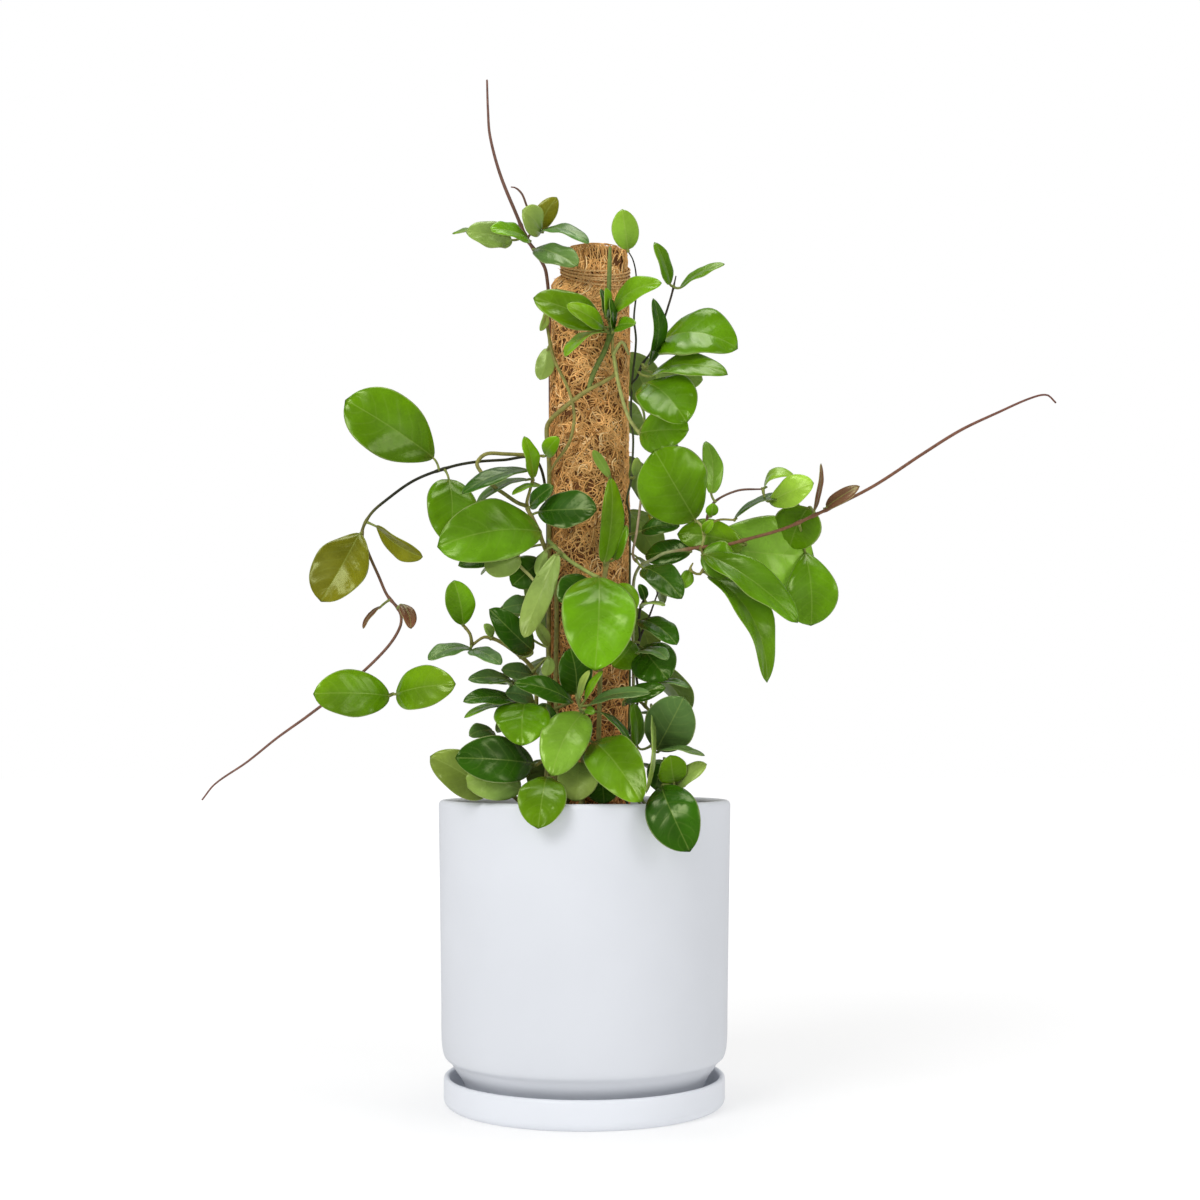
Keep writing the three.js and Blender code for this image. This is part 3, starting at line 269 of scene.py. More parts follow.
              [481, 472, -50], [477, 463, -46], [486, 454, -42], [505, 454, -38], [527, 455, -32],
              [543, 456, -28]]],
            [1.4, None, [[536, 525, -46], [527, 541, -50], [517, 560, -56], [530, 576, -62],
              [541, 588, -64]]],
        ],
        "leaves": [
            [[541, 532, -50], [437, 547, -90], 56, 14, 0.14, 8, "fresh", 1.1],
            [[494, 560, -54], [458, 566, -68], 17, 30, 0.1, 10, "dark"],
            [[520, 557, -60], [486, 571, -86], 24, 190, 0.1, 10, "pale"],
            [[541, 560, -46], [512, 586, -60], 30, 10, 0.1, 8, "dark"],
            [[533, 479, -44], [524, 436, -54], 20, 50, 0.1, 12, "lime"],
            [[529, 470, -46], [462, 494, -80], 28, 54, 0.1, 12, "dark"],
            [[528, 479, -38], [476, 505, -56], 19, 58, 0.1, 12, "cool"],
            [[541, 486, -42], [512, 495, -66], 10, 50, 0.1, 10, "lime"],
            [[530, 507, -52], [554, 486, -74], 18, 30, 0.1, 10, "dark"],
            [[538, 512, -54], [597, 510, -86], 36, 20, 0.1, 10, "dark", 1.25],
            [[546, 456, -30], [559, 437, -50], 15, 0, 0.1, 10, "lime"],
        ],
    },
    "vine_low_left": {
        "stems": [
            [1.9, [190, 300], [[537, 712, -12], [534, 672, -28], [510, 648, -44], [486, 637, -52],
              [472, 645, -56]]],
            [1.4, None, [[472, 645, -56], [470, 634, -58], [463, 625, -58]]],
            [1.4, None, [[510, 648, -44], [524, 634, -50], [533, 616, -58]]],
            [1.4, None, [[534, 672, -28], [524, 680, -52], [513, 684, -58]]],
        ],
        "leaves": [
            [[463, 625, -60], [454, 580, -78], 25, 5, 0.1, 10, "green", 1.15],
            [[533, 651, -46], [489, 609, -86], 27, 15, 0.1, 10, "dark"],
            [[535, 606, -52], [502, 609, -68], 20, 30, 0.1, 10, "cool"],
            [[493, 636, -54], [484, 624, -62], 9, 20, 0.1, 10, "pale"],
            [[471, 648, -58], [428, 660, -86], 21, 52, 0.1, 10, "cool"],
            [[471, 650, -62], [501, 665, -92], 20, 48, 0.1, 10, "cool"],
            [[511, 680, -62], [468, 680, -90], 19, 44, 0.1, 10, "cool"],
            [[533, 676, -50], [501, 670, -72], 19, 30, 0.1, 10, "cool"],
            [[512, 686, -72], [488, 684, -100], 10, 75, 0.1, 10, "dark"],
            [[549, 645, -46], [534, 621, -62], 12, 30, 0.1, 10, "pale"],
            [[550, 657, -46], [545, 676, -56], 11, 180, 0.1, 10, "pale"],
        ],
    },
    "vine_low_left_front": {
        "stems": [
            [1.9, [240, 250], [[556, 725, -52], [549, 712, -56], [530, 706, -62], [516, 700, -64]]],
            [1.6, None, [[556, 725, -52], [550, 745, -60], [543, 760, -68], [535, 766, -72]]],
            [1.5, None, [[549, 712, -56], [562, 706, -62], [572, 702, -66]]],
        ],
        "leaves": [
            [[572, 702, -70], [514, 683, -102], 22, 34, 0.1, 8, "dark"],
            [[516, 701, -66], [463, 702, -98], 22, 50, 0.1, 10, "dark"],
            [[514, 706, -64], [464, 718, -86], 16, 65, 0.1, 10, "green"],
            [[534, 700, -60], [505, 693, -78], 18, 30, 0.1, 10, "cool"],
            [[525, 703, -72], [522, 746, -104], 48, 0, 0.12, 12, "green", 0.95],
            [[546, 703, -58], [541, 732, -70], 20, 10, 0.1, 10, "dark"],
            [[534, 764, -74], [455, 758, -118], 40, 16, 0.12, 10, "dark", 1.1],
        ],
    },
    "vine_low_front": {
        "stems": [
            [1.9, [262, 250], [[583, 745, -60], [583, 722, -66], [580, 706, -68]]],
            [1.6, None, [[583, 745, -60], [572, 758, -74], [560, 770, -86], [550, 778, -98]]],
        ],
        "leaves": [
            [[579, 700, -70], [590, 670, -82], 9, 45, 0.1, 10, "pale"],
            [[585, 700, -73], [603, 671, -88], 9, 45, 0.1, 10, "lime"],
            [[589, 705, -75], [651, 693, -112], 16, 52, 0.1, 12, "cool"],
            [[585, 710, -78], [595, 713, -86], 8, 20, 0.1, 10, "green"],
            [[583, 713, -76], [551, 776, -116], 40, 5, 0.1, 10, "bright"],
            [[593, 742, -72], [642, 802, -138], 43, 6, 0.14, 10, "green", 1.1],
            [[547, 777, -100], [538, 829, -138], 39, 0, 0.2, 8, "green", 1.4],
            [[578, 762, -84], [576, 802, -102], 34, 0, 0.1, 8, "pale"],
            [[600, 774, -70], [604, 804, -82], 28, 0, 0.1, 8, "dark", 1.2],
            [[600, 712, -74], [630, 744, -98], 12, 60, 0.1, 10, "dark"],
            [[576, 695, -58], [570, 648, -70], 30, 10, 0.1, 10, "dark"],
        ],
    },
    "vine_low_right": {
        "stems": [
            [1.1, [312, 285], [[638, 700, -44], [636, 670, -46], [639, 641, -46], [649, 617, -44],
              [658, 592, -42]]],
            [1.0, None, [[640, 638, -47], [639, 620, -48], [641, 606, -48], [648, 594, -46]]],
            [1.3, None, [[638, 700, -44], [645, 706, -56], [652, 716, -66], [653, 748, -68]]],
            [1.3, None, [[638, 700, -44], [628, 703, -52], [624, 705, -58]]],
        ],
        "leaves": [
            [[641, 607, -50], [665, 606, -80], 12, 75, 0.1, 10, "pale"],
            [[641, 620, -50], [677, 645, -84], 25, 34, 0.1, 14, "dark"],
            [[642, 647, -50], [668, 680, -76], 40, 5, 0.1, 8, "dark", 1.1],
            [[637, 653, -60], [668, 660, -98], 17, 55, 0.1, 14, "cool"],
            [[658, 683, -60], [689, 688, -80], 11, 60, 0.1, 10, "cool"],
            [[645, 600, -48], [639, 584, -56], 9, 10, 0.1, 10, "dark"],
            [[634, 642, -50], [613, 667, -60], 31, 10, 0.1, 10, "green", 1.1],
            [[624, 700, -62], [666, 688, -84], 18, 30, 0.1, 10, "dark"],
            [[656, 750, -68], [684, 697, -94], 43, 0, 0.1, 8, "cool", 1.15],
            [[651, 704, -76], [646, 794, -112], 15, 72, 0.06, 10, "pale"],
            [[656, 752, -78], [705, 756, -110], 15, 75, 0.1, 10, "cool"],
            [[637, 746, -56], [632, 702, -70], 17, 40, 0.1, 10, "green"],
        ],
    },
    "vine_pot_left": {
        "stems": [
            [1.8, [236, None], [[505, 790, -84], [494, 791, -88]]],
            [1.5, None, [[504, 791, -84], [499, 762, -76], [494, 735, -64]]],
        ],
        "leaves": [
            [[489, 792, -90], [430, 756, -104], 35, 8, 0.1, 8, "moss", 0.9],
            [[521, 790, -92], [462, 774, -100], 32, 6, 0.1, 8, "pale"],
            [[493, 731, -62], [469, 736, -80], 16, 30, 0.1, 10, "cool"],
        ],
    },
    "vine_pot_right": {
        "stems": [
            [1.8, [318, None], [[672, 795, -76], [674, 787, -84]]],
            [1.3, None, [[672, 795, -76], [665, 775, -68], [664, 762, -64]]],
        ],
        "leaves": [
            [[661, 786, -96], [690, 852, -134], 43, 0, 0.28, 4, "dark", 1.35],
            [[664, 760, -64], [655, 790, -84], 22, 10, 0.1, 10, "dark"],
            [[674, 783, -84], [670, 755, -96], 26, 10, 0.1, 10, "green"],
            [[677, 786, -80], [707, 764, -94], 18, 40, 0.1, 10, "pale"],
            [[683, 787, -74], [694, 773, -80], 8, 40, 0.1, 10, "dark"],
        ],
    },
}

# Stems on the back of the pole, which follow a rule: a pair of leaves at each node
BACK_VINES = {
    "vine_back_right": {"turn": 50, "endTurn": 82, "top": 690, "seed": 3},
    "vine_back_left": {"turn": 129, "endTurn": 133, "top": 520, "seed": 11},
}
BACK = {
    "stemRadius": 1.9,
    "firstNode": 282,
    "rise": [42, 54],
    "spread": [9, 24],
    "petiole": [9, 22],
    "length": [46, 76],
    "shape": 0.58,
    "droop": [12, 58],
    "roll": 26,
    "lift": 5,
    "arch": 0.1,
    "fold": 8,
    "age": "dark",
}

# The tones of each vine's stems, in the order of the table
VINE_STEM_TONES = {
    "vine_top_left": ["brown", "brown"],
    "vine_pole": ["olive", "green", "straw", "straw", "green", "olive"],
    "vine_right_upper": ["climber", "black", "green"],
    "vine_right_runner": ["pale_runner", "straw", "brown", "olive", "olive", "pink_straw"],
    "vine_front": ["olive", "cream_tip", "olive"],
    "vine_left_runner": ["runner", "olive"],
    "vine_left_mid": ["olive", "olive", "straw"],
    "vine_low_left": ["olive", "olive", "black", "olive"],
    "vine_low_left_front": ["olive", "olive", "olive"],
    "vine_low_front": ["olive", "olive"],
    "vine_low_right": ["black", "black", "olive", "black"],
    "vine_pot_left": ["olive", "olive"],
    "vine_pot_right": ["olive", "olive"],
    "vine_back_right": ["olive"],
    "vine_back_left": ["olive"],
}


def linear(tone):
    """A seen tone of 0 to 255 as the light it stands for: the sRGB curve undone."""
    share = np.asarray(tone, float) / 255
    return np.where(share <= 0.04045, share / 12.92, ((share + 0.055) / 1.055) ** 2.4)


def paint(tone):
    """A seen tone as a socket's colour."""
    return (*linear(tone), 1)


# The camera

def set_camera():
    """The camera at the view's eye, level across, tipped up by the pitch, with the view's angle."""
    camera = bpy.data.objects.new("camera", bpy.data.cameras.new("camera"))
    camera.location = (VIEW["side"] * MM, -VIEW["distance"] * MM, VIEW["height"] * MM)
    camera.rotation_euler = (math.pi / 2 + VIEW["pitch"], 0, 0)
    camera.data.sensor_width = SENSOR
    camera.data.lens = SENSOR * VIEW["focal"] / (2 * VIEW["centre"])
    camera.data.clip_start = 0.05
    camera.data.clip_end = 60
    bpy.context.scene.collection.objects.link(camera)
    bpy.context.scene.camera = camera


set_camera()


# Materials

def node(tree, kind, inputs=None, **settings):
    """A node. An input that is given a socket is linked to it, and any other value is set on it."""
    made = tree.nodes.new(kind)
    for name, value in settings.items():
        setattr(made, name, value)
    for name, value in (inputs or {}).items():
        if isinstance(value, bpy.types.NodeSocket):
            tree.links.new(value, made.inputs[name])
        else:
            made.inputs[name].default_value = value
    return made


def maths(tree, operation, a, b=0.0, c=0.0):
    """One sum on numbers or sockets."""
    return node(tree, "ShaderNodeMath", {0: a, 1: b, 2: c}, operation=operation).outputs[0]


def stepped(tree, value, low, high, start, end):
    """A smooth step: start where value is under low, end where it is over high."""
    inputs = {"Value": value, "From Min": low, "From Max": high, "To Min": start, "To Max": end}
    return node(tree, "ShaderNodeMapRange", inputs, interpolation_type="SMOOTHSTEP").outputs[0]


def mixed(tree, share, a, b, blend="MIX"):
    """Colour a turned into colour b by a share."""
    made = node(tree, "ShaderNodeMix", {0: share, 6: a, 7: b}, data_type="RGBA", blend_type=blend)
    return made.outputs[2]


def new_group(name, inputs, outputs):
    """An empty node group with named inputs, each with its first value, and named outputs."""
    tree = bpy.data.node_groups.new(name, "ShaderNodeTree")
    for label, value in inputs.items():
        socket = tree.interface.new_socket(label, in_out="INPUT", socket_type="NodeSocketFloat")
        socket.default_value = value
    for label in outputs:
        tree.interface.new_socket(label, in_out="OUTPUT", socket_type="NodeSocketFloat")
    return tree, tree.nodes.new("NodeGroupInput").outputs, tree.nodes.new("NodeGroupOutput").inputs


# The noise seldom leaves this range, which is spread over the whole of the patches' own
NOISE_RANGE = (0.32, 0.68)


def mottle_group():
    """Cloudy patches: noise on the piece's own coordinates, spread between Low and High."""
    tree, given, put = new_group("mottle", {"Scale": 60.0, "Low": 0.0, "High": 1.0}, ["Value"])
    place = node(tree, "ShaderNodeTexCoord").outputs["Object"]
    noise = node(tree, "ShaderNodeTexNoise", {"Vector": place, "Scale": given["Scale"], "Detail": 3.0})
    inputs = {
        "Value": noise.outputs[0], "From Min": NOISE_RANGE[0], "From Max": NOISE_RANGE[1],
        "To Min": given["Low"], "To Max": given["High"],
    }
    spread = node(tree, "ShaderNodeMapRange", inputs)
    tree.links.new(spread.outputs[0], put["Value"])
    return tree


# The side veins: how far they reach towards the tip at the edge and the power of their curve, the size
# and the scale of their wandering, their half width as a share of the space between two, and the shares
# across between which they fade
VEIN_BOW, VEIN_CURVE = 0.26, 1.3
VEIN_WANDER, VEIN_WANDER_SCALE = 0.7, 55.0
VEIN_WIDTH = 0.13
VEIN_FADE = (0.55, 0.92)


def veins_group():
    """A leaf's veins from its blade attribute, which is the share along, the share across and the
    millimetres across: a midrib of even width, and side veins that leave it and curve towards the tip."""
    tree, given, put = new_group("leaf_veins", {"Midrib": 0.8, "Count": 7.5}, ["Midrib", "Veins"])
    blade = node(tree, "ShaderNodeAttribute", attribute_name="blade").outputs["Vector"]
    along, across, reach = node(tree, "ShaderNodeSeparateXYZ", {0: blade}).outputs
    reach = maths(tree, "ABSOLUTE", reach)
    across = maths(tree, "ABSOLUTE", across)
    midrib = stepped(tree, reach, 0.15, given["Midrib"], 1.0, 0.0)
    bowed = maths(tree, "MULTIPLY_ADD", maths(tree, "POWER", across, VEIN_CURVE), -VEIN_BOW, along)
    place = node(tree, "ShaderNodeTexCoord").outputs["Object"]
    inputs = {"Vector": place, "Scale": VEIN_WANDER_SCALE, "Detail": 1.0}
    wander = node(tree, "ShaderNodeTexNoise", inputs).outputs[0]
    phase = maths(tree, "MULTIPLY_ADD", wander, VEIN_WANDER, maths(tree, "MULTIPLY", bowed, given["Count"]))
    apart = maths(tree, "ABSOLUTE", maths(tree, "SUBTRACT", maths(tree, "FRACT", phase), 0.5))
    lines = stepped(tree, apart, 0.0, VEIN_WIDTH, 1.0, 0.0)
    fade = stepped(tree, across, *VEIN_FADE, 1.0, 0.0)
    tree.links.new(midrib, put["Midrib"])
    tree.links.new(maths(tree, "MULTIPLY", lines, fade), put["Veins"])
    return tree


MOTTLE = mottle_group()
VEINS = veins_group()


def placed(tree, group, inputs=None):
    """A node group set down in a material, with its values."""
    made = node(tree, "ShaderNodeGroup", node_tree=group)
    for name, value in (inputs or {}).items():
        made.inputs[name].default_value = value
    return made.outputs


def mottled(tree, scale, low=0.0, high=1.0):
    """Cloudy patches between two values."""
    return placed(tree, MOTTLE, {"Scale": scale, "Low": low, "High": high})["Value"]


def new_material(name, roughness, specular):
    """A material with its Principled shader, whose even values are set on its own sockets."""
    material = bpy.data.materials.new(name)
    material.use_nodes = True
    shader = material.node_tree.nodes["Principled BSDF"]
    shader.inputs["Roughness"].default_value = roughness
    shader.inputs["Specular IOR Level"].default_value = specular
    return material, material.node_tree, shader


def own_tint(tree):
    """The tint that the piece's points carry."""
    return node(tree, "ShaderNodeAttribute", attribute_name="tint").outputs["Color"]


def grey(tree, value):
    """A number as a colour."""
    return node(tree, "ShaderNodeCombineColor", {0: value, 1: value, 2: value}).outputs[0]


def dimmed(tree, colour, value):
    """A colour times a number."""
    return mixed(tree, 1.0, colour, grey(tree, value), "MULTIPLY")


def coloured(tree, shader, colour):
    """The shader's base colour from a socket."""
    tree.links.new(colour, shader.inputs["Base Color"])


def bumped(tree, shader, height, depth_mm, strength):
    """A relief on the shader's surface, from a height of 0 to 1."""
    inputs = {"Height": height, "Distance": depth_mm * MM, "Strength": strength}
    tree.links.new(node(tree, "ShaderNodeBump", inputs).outputs[0], shader.inputs["Normal"])


def leaf_material():
    """A waxy leaf: its own tint with soft patches, paler veins, a faint relief of the veins, and a
    gloss that is a little green."""
    material, tree, shader = new_material("hoya_leaf", 0.26, 0.6)
    shader.inputs["Specular Tint"].default_value = (0.88, 1, 0.5, 1)
    patches = mottled(tree, 38.0, 0.82, 1.16)
    speckle = mottled(tree, 420.0, 0.95, 1.04)
    veins = placed(tree, VEINS)
    base = dimmed(tree, own_tint(tree), maths(tree, "MULTIPLY", patches, speckle))
    fine = mixed(tree, maths(tree, "MULTIPLY", veins["Veins"], 0.05), base, paint(VEIN_TONE))
    whole = mixed(tree, maths(tree, "MULTIPLY", veins["Midrib"], 0.18), fine, paint(VEIN_TONE))
    coloured(tree, shader, whole)
    tree.links.new(mottled(tree, 30.0, 0.2, 0.31), shader.inputs["Roughness"])
    sunk = maths(tree, "MULTIPLY", veins["Veins"], -0.5)
    bumped(tree, shader, maths(tree, "ADD", sunk, maths(tree, "MULTIPLY", patches, 0.6)), 0.22, 0.3)
    return material


def stem_material():
    """A stem or stalk: its own tint with fine streaks and a matt skin."""
    material, tree, shader = new_material("hoya_stem", 0.6, 0.35)
    streak = mottled(tree, 260.0, 0.78, 1.18)
    coloured(tree, shader, dimmed(tree, own_tint(tree), streak))
    bumped(tree, shader, streak, 0.2, 0.6)
    return material


def coir_material():
    """Coconut fibre: each strand's own tint, with darker stretches."""
    material, tree, shader = new_material("coir_fibre", 0.82, 0.2)
    coloured(tree, shader, dimmed(tree, own_tint(tree), mottled(tree, 70.0, 0.8, 1.15)))
    bumped(tree, shader, mottled(tree, 900.0), 0.15, 0.7)
    return material


def cord_material():
    """Twisted fibre cord, tan with olive and straw stretches."""
    material, tree, shader = new_material("tie_cord", 0.75, 0.25)
    colour = mixed(tree, mottled(tree, 45.0), paint((188, 144, 84)), paint((228, 186, 128)))
    hairs = mottled(tree, 700.0, 0.75, 1.12)
    coloured(tree, shader, dimmed(tree, colour, hairs))
    bumped(tree, shader, hairs, 0.25, 0.8)
    return material


def glaze_material():
    """Cool white satin glaze, faintly cloudy, with a fine, soft unevenness and each piece's own tint,
    which paints light and shade: the pot a little darker and the saucer lighter.
    """
    material, tree, shader = new_material("white_glaze", 0.46, 0.4)
    colour = mixed(tree, mottled(tree, 9.0), paint((221, 224, 230)), paint((225, 228, 234)))
    coloured(tree, shader, mixed(tree, 1.0, colour, own_tint(tree), "MULTIPLY"))
    tree.links.new(mottled(tree, 25.0, 0.42, 0.5), shader.inputs["Roughness"])
    bumped(tree, shader, mottled(tree, 160.0), 0.06, 0.25)
    return material


def soil_material():
    """Dark potting mix: brown-black with lighter crumbs."""
    material, tree, shader = new_material("potting_mix", 0.95, 0.15)
    crumbs = mottled(tree, 220.0)
    coloured(tree, shader, mixed(tree, crumbs, paint((38, 27, 20)), paint((84, 62, 44))))
    bumped(tree, shader, crumbs, 1.2, 0.9)
    return material


def timber_material():
    """Sawn timber: straight grain along the stake."""
    material, tree, shader = new_material("sawn_timber", 0.8, 0.25)
    place = node(tree, "ShaderNodeTexCoord").outputs["Object"]
    stretched = node(tree, "ShaderNodeMapping", {"Vector": place, "Scale": (1.0, 1.0, 0.04)}).outputs[0]
    inputs = {"Vector": stretched, "Scale": 320.0, "Detail": 4.0}
    grain = node(tree, "ShaderNodeTexNoise", inputs).outputs[0]
    coloured(tree, shader, mixed(tree, grain, paint((128, 96, 62)), paint((188, 152, 106))))
    bumped(tree, shader, grain, 0.3, 0.5)
    return material


LEAF = leaf_material()
STEM = stem_material()
COIR = coir_material()
CORD = cord_material()
GLAZE = glaze_material()
SOIL = soil_material()
TIMBER = timber_material()


# Surfaces

# A part of a piece is a dict of its points, its four- and three-sided faces, and what each point carries:
# a tint, and the blade attribute, which is (share along, share across, millimetres across).

def ring_faces(rings, sides):
    """The faces of a closed form of rings, in order along it, and then its two end points. Each ring
    turns right-handed about the way along, so that the faces point out."""
    ring = np.arange(rings - 1)[:, None] * sides
    k = np.arange(sides)[None, :]
    following = (k + 1) % sides
    corners = [ring + k, ring + following, ring + sides + following, ring + sides + k]
    quads = np.stack(corners, -1).reshape(-1, 4)
    first, last = rings * sides, rings * sides + 1
    k, following = k[0], following[0]
    end = (rings - 1) * sides
    start_fan = np.stack([np.full(sides, first), following, k], -1)
    end_fan = np.stack([np.full(sides, last), end + k, end + following], -1)
    return quads, np.concatenate([start_fan, end_fan])


def new_part(points, quads, triangles, tint, blade=None, material=0):
    """A part, with one tint for all its points or one for each."""
    tint = np.broadcast_to(tint, (len(points), 3))
    blade = np.zeros((len(points), 3)) if blade is None else blade
    return {"points": points, "quads": quads, "triangles": triangles, "tint": tint, "blade": blade,
            "material": material}


def new_piece(name, parts, materials, replaces=()):
    """One object from its parts, which rides on the root body and takes its finish from a slot."""
    quads, triangles, kinds, start = [], [], [], 0
    for part in parts:
        quads.append(part["quads"] + start)
        triangles.append(part["triangles"] + start)
        start += len(part["points"])
    for key in ("quads", "triangles"):
        kinds += [np.full(len(part[key]), part["material"]) for part in parts]
    points = np.concatenate([part["points"] for part in parts]) * MM
    faces = np.concatenate(quads).tolist() + np.concatenate(triangles).tolist()
    mesh = bpy.data.meshes.new(name)
    mesh.from_pydata(points, [], faces)
    for material in materials:
        mesh.materials.append(material)
    mesh.polygons.foreach_set("material_index", np.concatenate(kinds).astype(np.int32))
    mesh.shade_smooth()
    tint = np.concatenate([part["tint"] for part in parts])
    tint = np.column_stack([tint, np.ones(len(tint))]).astype(np.float32)
    mesh.attributes.new("tint", "FLOAT_COLOR", "POINT").data.foreach_set("color", tint.ravel())
    blade = np.concatenate([part["blade"] for part in parts]).astype(np.float32)
    mesh.attributes.new("blade", "FLOAT_VECTOR", "POINT").data.foreach_set("vector", blade.ravel())
    piece = bpy.data.objects.new(name, mesh)
    bpy.context.scene.collection.objects.link(piece)
    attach(piece, "root")
    if replaces:
        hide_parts(*replaces)


def unit(vectors):
    """Each vector at length 1."""
    return vectors / np.maximum(np.linalg.norm(vectors, axis=-1, keepdims=True), 1e-9)


def smooth_line(points, step):
    """A smooth line through points: cubic stretches whose way at each point is that from the point
    before to the one after, sampled about every step of length."""
    points = np.asarray(points, float)
    lengths = np.linalg.norm(np.diff(points, axis=0), axis=1)
    at = np.concatenate([[0], np.cumsum(lengths)])
    count = max(3, int(at[-1] / step) + 1)
    ways = np.empty_like(points)
    ways[1:-1] = (points[2:] - points[:-2]) / (at[2:] - at[:-2])[:, None]
    ways[0] = (points[1] - points[0]) / lengths[0]
    ways[-1] = (points[-1] - points[-2]) / lengths[-1]
    where = np.linspace(0, at[-1], count)
    i = np.clip(np.searchsorted(at, where, side="right") - 1, 0, len(lengths) - 1)
    span = lengths[i][:, None]
    t = (where - at[i])[:, None] / span
    return ((2 * t**3 - 3 * t**2 + 1) * points[i] + (t**3 - 2 * t**2 + t) * span * ways[i]
            + (3 * t**2 - 2 * t**3) * points[i + 1] + (t**3 - t**2) * span * ways[i + 1])


def tube_rings(lines, radii, sides):
    """Rings round many lines at once. lines is (line, step, xyz) and radii is (line, step). The ring's
    first direction is the axis that each line runs least along, made square to the line."""
    ways = unit(np.gradient(lines, axis=1))
    least = np.argmin(np.abs(ways).max(axis=1), axis=-1)
    first = np.eye(3)[least][:, None, :]
    across = unit(first - ways * np.sum(ways * first, -1, keepdims=True))
    other = np.cross(ways, across)
    angle = 2 * np.pi * np.arange(sides) / sides
    circle = across[:, :, None] * np.cos(angle)[:, None] + other[:, :, None] * np.sin(angle)[:, None]
    return lines[:, :, None] + radii[:, :, None, None] * circle


def tubes(lines, radii, sides, tints, material=0):
    """Closed tubes along many lines of the same number of steps, as one part."""
    count, steps, _ = lines.shape
    rings = tube_rings(lines, radii, sides).reshape(count, steps * sides, 3)
    points = np.concatenate([rings, lines[:, :1], lines[:, -1:]], 1)
    quads, triangles = ring_faces(steps, sides)
    shift = (np.arange(count) * points.shape[1])[:, None, None]
    tints = np.broadcast_to(tints, (count, steps, 3))
    ring_tints = np.repeat(tints, sides, axis=1)
    tint = np.concatenate([ring_tints, tints[:, :1], tints[:, -1:]], 1)
    quads, triangles = (quads + shift).reshape(-1, 4), (triangles + shift).reshape(-1, 3)
    return new_part(points.reshape(-1, 3), quads, triangles, tint.reshape(-1, 3), material=material)


def tube(line, radii, sides, tints, material=0):
    """One closed tube."""
    return tubes(line[None], np.broadcast_to(radii, len(line))[None], sides, tints, material)


def turned(profile, sides, tint):
    """A surface of revolution about +Z: a profile of (radius, height) that starts and ends on the axis,
    or, where it starts off the axis, one that closes on itself."""
    profile = np.asarray(profile, float)
    closed = profile[0, 0] > 0
    angle = -2 * np.pi * np.arange(sides) / sides
    inner = profile if closed else profile[1:-1]
    rings = np.stack([inner[:, :1] * np.cos(angle), inner[:, :1] * np.sin(angle),
                      np.repeat(inner[:, 1:], sides, 1)], -1)
    if not closed:
        points = np.concatenate([rings.reshape(-1, 3), [[0, 0, profile[0, 1]], [0, 0, profile[-1, 1]]]])
        quads, triangles = ring_faces(len(inner), sides)
        return new_part(points, quads, triangles, tint)
    ring = np.arange(len(inner))[:, None]
    following_ring = (ring + 1) % len(inner)
    k = np.arange(sides)[None, :]
    following = (k + 1) % sides
    corners = [ring * sides + k, ring * sides + following,
               following_ring * sides + following, following_ring * sides + k]
    quads = np.stack(corners, -1).reshape(-1, 4)
    return new_part(rings.reshape(-1, 3), quads, np.zeros((0, 3), int), tint)


def arc(x, z, radius, start, end, steps):
    """A part of a circle in a profile, from one angle to another in degrees."""
    angle = np.radians(np.linspace(start, end, steps + 1))
    return list(zip(x + radius * np.cos(angle), z + radius * np.sin(angle)))


# The plant

def seen(place):
    """The point of the plant that shows at a place in the view, at a depth: the sight line through the
    place, followed until its y is the depth."""
    across, down, depth = place
    pitch = VIEW["pitch"]
    u = (across - VIEW["centre"]) / VIEW["focal"]
    v = (VIEW["centre"] - down) / VIEW["focal"]
    reach = (depth + VIEW["distance"]) / (math.cos(pitch) - v * math.sin(pitch))
    rise = math.sin(pitch) + v * math.cos(pitch)
    return np.array([VIEW["side"] + reach * u, depth, VIEW["height"] + reach * rise])


def climb(turn, height, end_turn):
    """The part of a stem that stands in the soil and climbs the pole, to a height, as it winds from one
    turn round the pole to another. Without a height it only leaves the soil, near the rim."""
    def around(radius, z, share=0.0):
        angle = math.radians(turn + (end_turn - turn) * share)
        return np.array([POLE_X + radius * math.cos(angle), radius * math.sin(angle), z])

    def rooted(radius, leave):
        return [around(radius, STEM_ROOT["z"]), around(radius + leave[0], SOIL_TOP + leave[1])]

    if height is None:
        return rooted(STEM_ROOT["rimRadius"], STEM_ROOT["rimExit"])
    start = SOIL_TOP + STEM_ROOT["leanIn"]
    steps = max(1, round((height - start) / STEM_ROOT["step"]))
    clear = POLE_RADIUS + STEM_ROOT["clear"]
    rising = [around(clear, start + (height - start) * i / steps, i / steps) for i in range(steps + 1)]
    return rooted(STEM_ROOT["radius"], STEM_ROOT["exit"]) + rising


def leaf_axes(base, tip, roll, towards):
    """The leaf's own axes: along the midrib, across it, and out of its upper face, which is turned to
    look towards a direction and then rolled."""
    along = unit(tip - base)
    facing = unit(towards - along * np.dot(towards, along))
    side = np.cross(along, facing)
    upward = side[2] if abs(side[2]) > 0.25 else side[0]
    if upward < 0:
        side = -side
    face = facing * math.cos(math.radians(roll)) + side * math.sin(math.radians(roll))
    return along, np.cross(face, along), face


def ring_shares(shares):
    """Shares across a blade for one ring: over the upper face from one edge to the other, and back
    under it. The second array is 1 on the upper face, -1 on the underside and 0 at both edges."""
    upper = np.concatenate([np.flip(shares), -np.asarray(shares[1:])])
    lower = -upper[1:-1]
    side = np.concatenate([[0], np.ones(len(upper) - 2), [0], -np.ones(len(lower))])
    return np.concatenate([upper, lower]), side


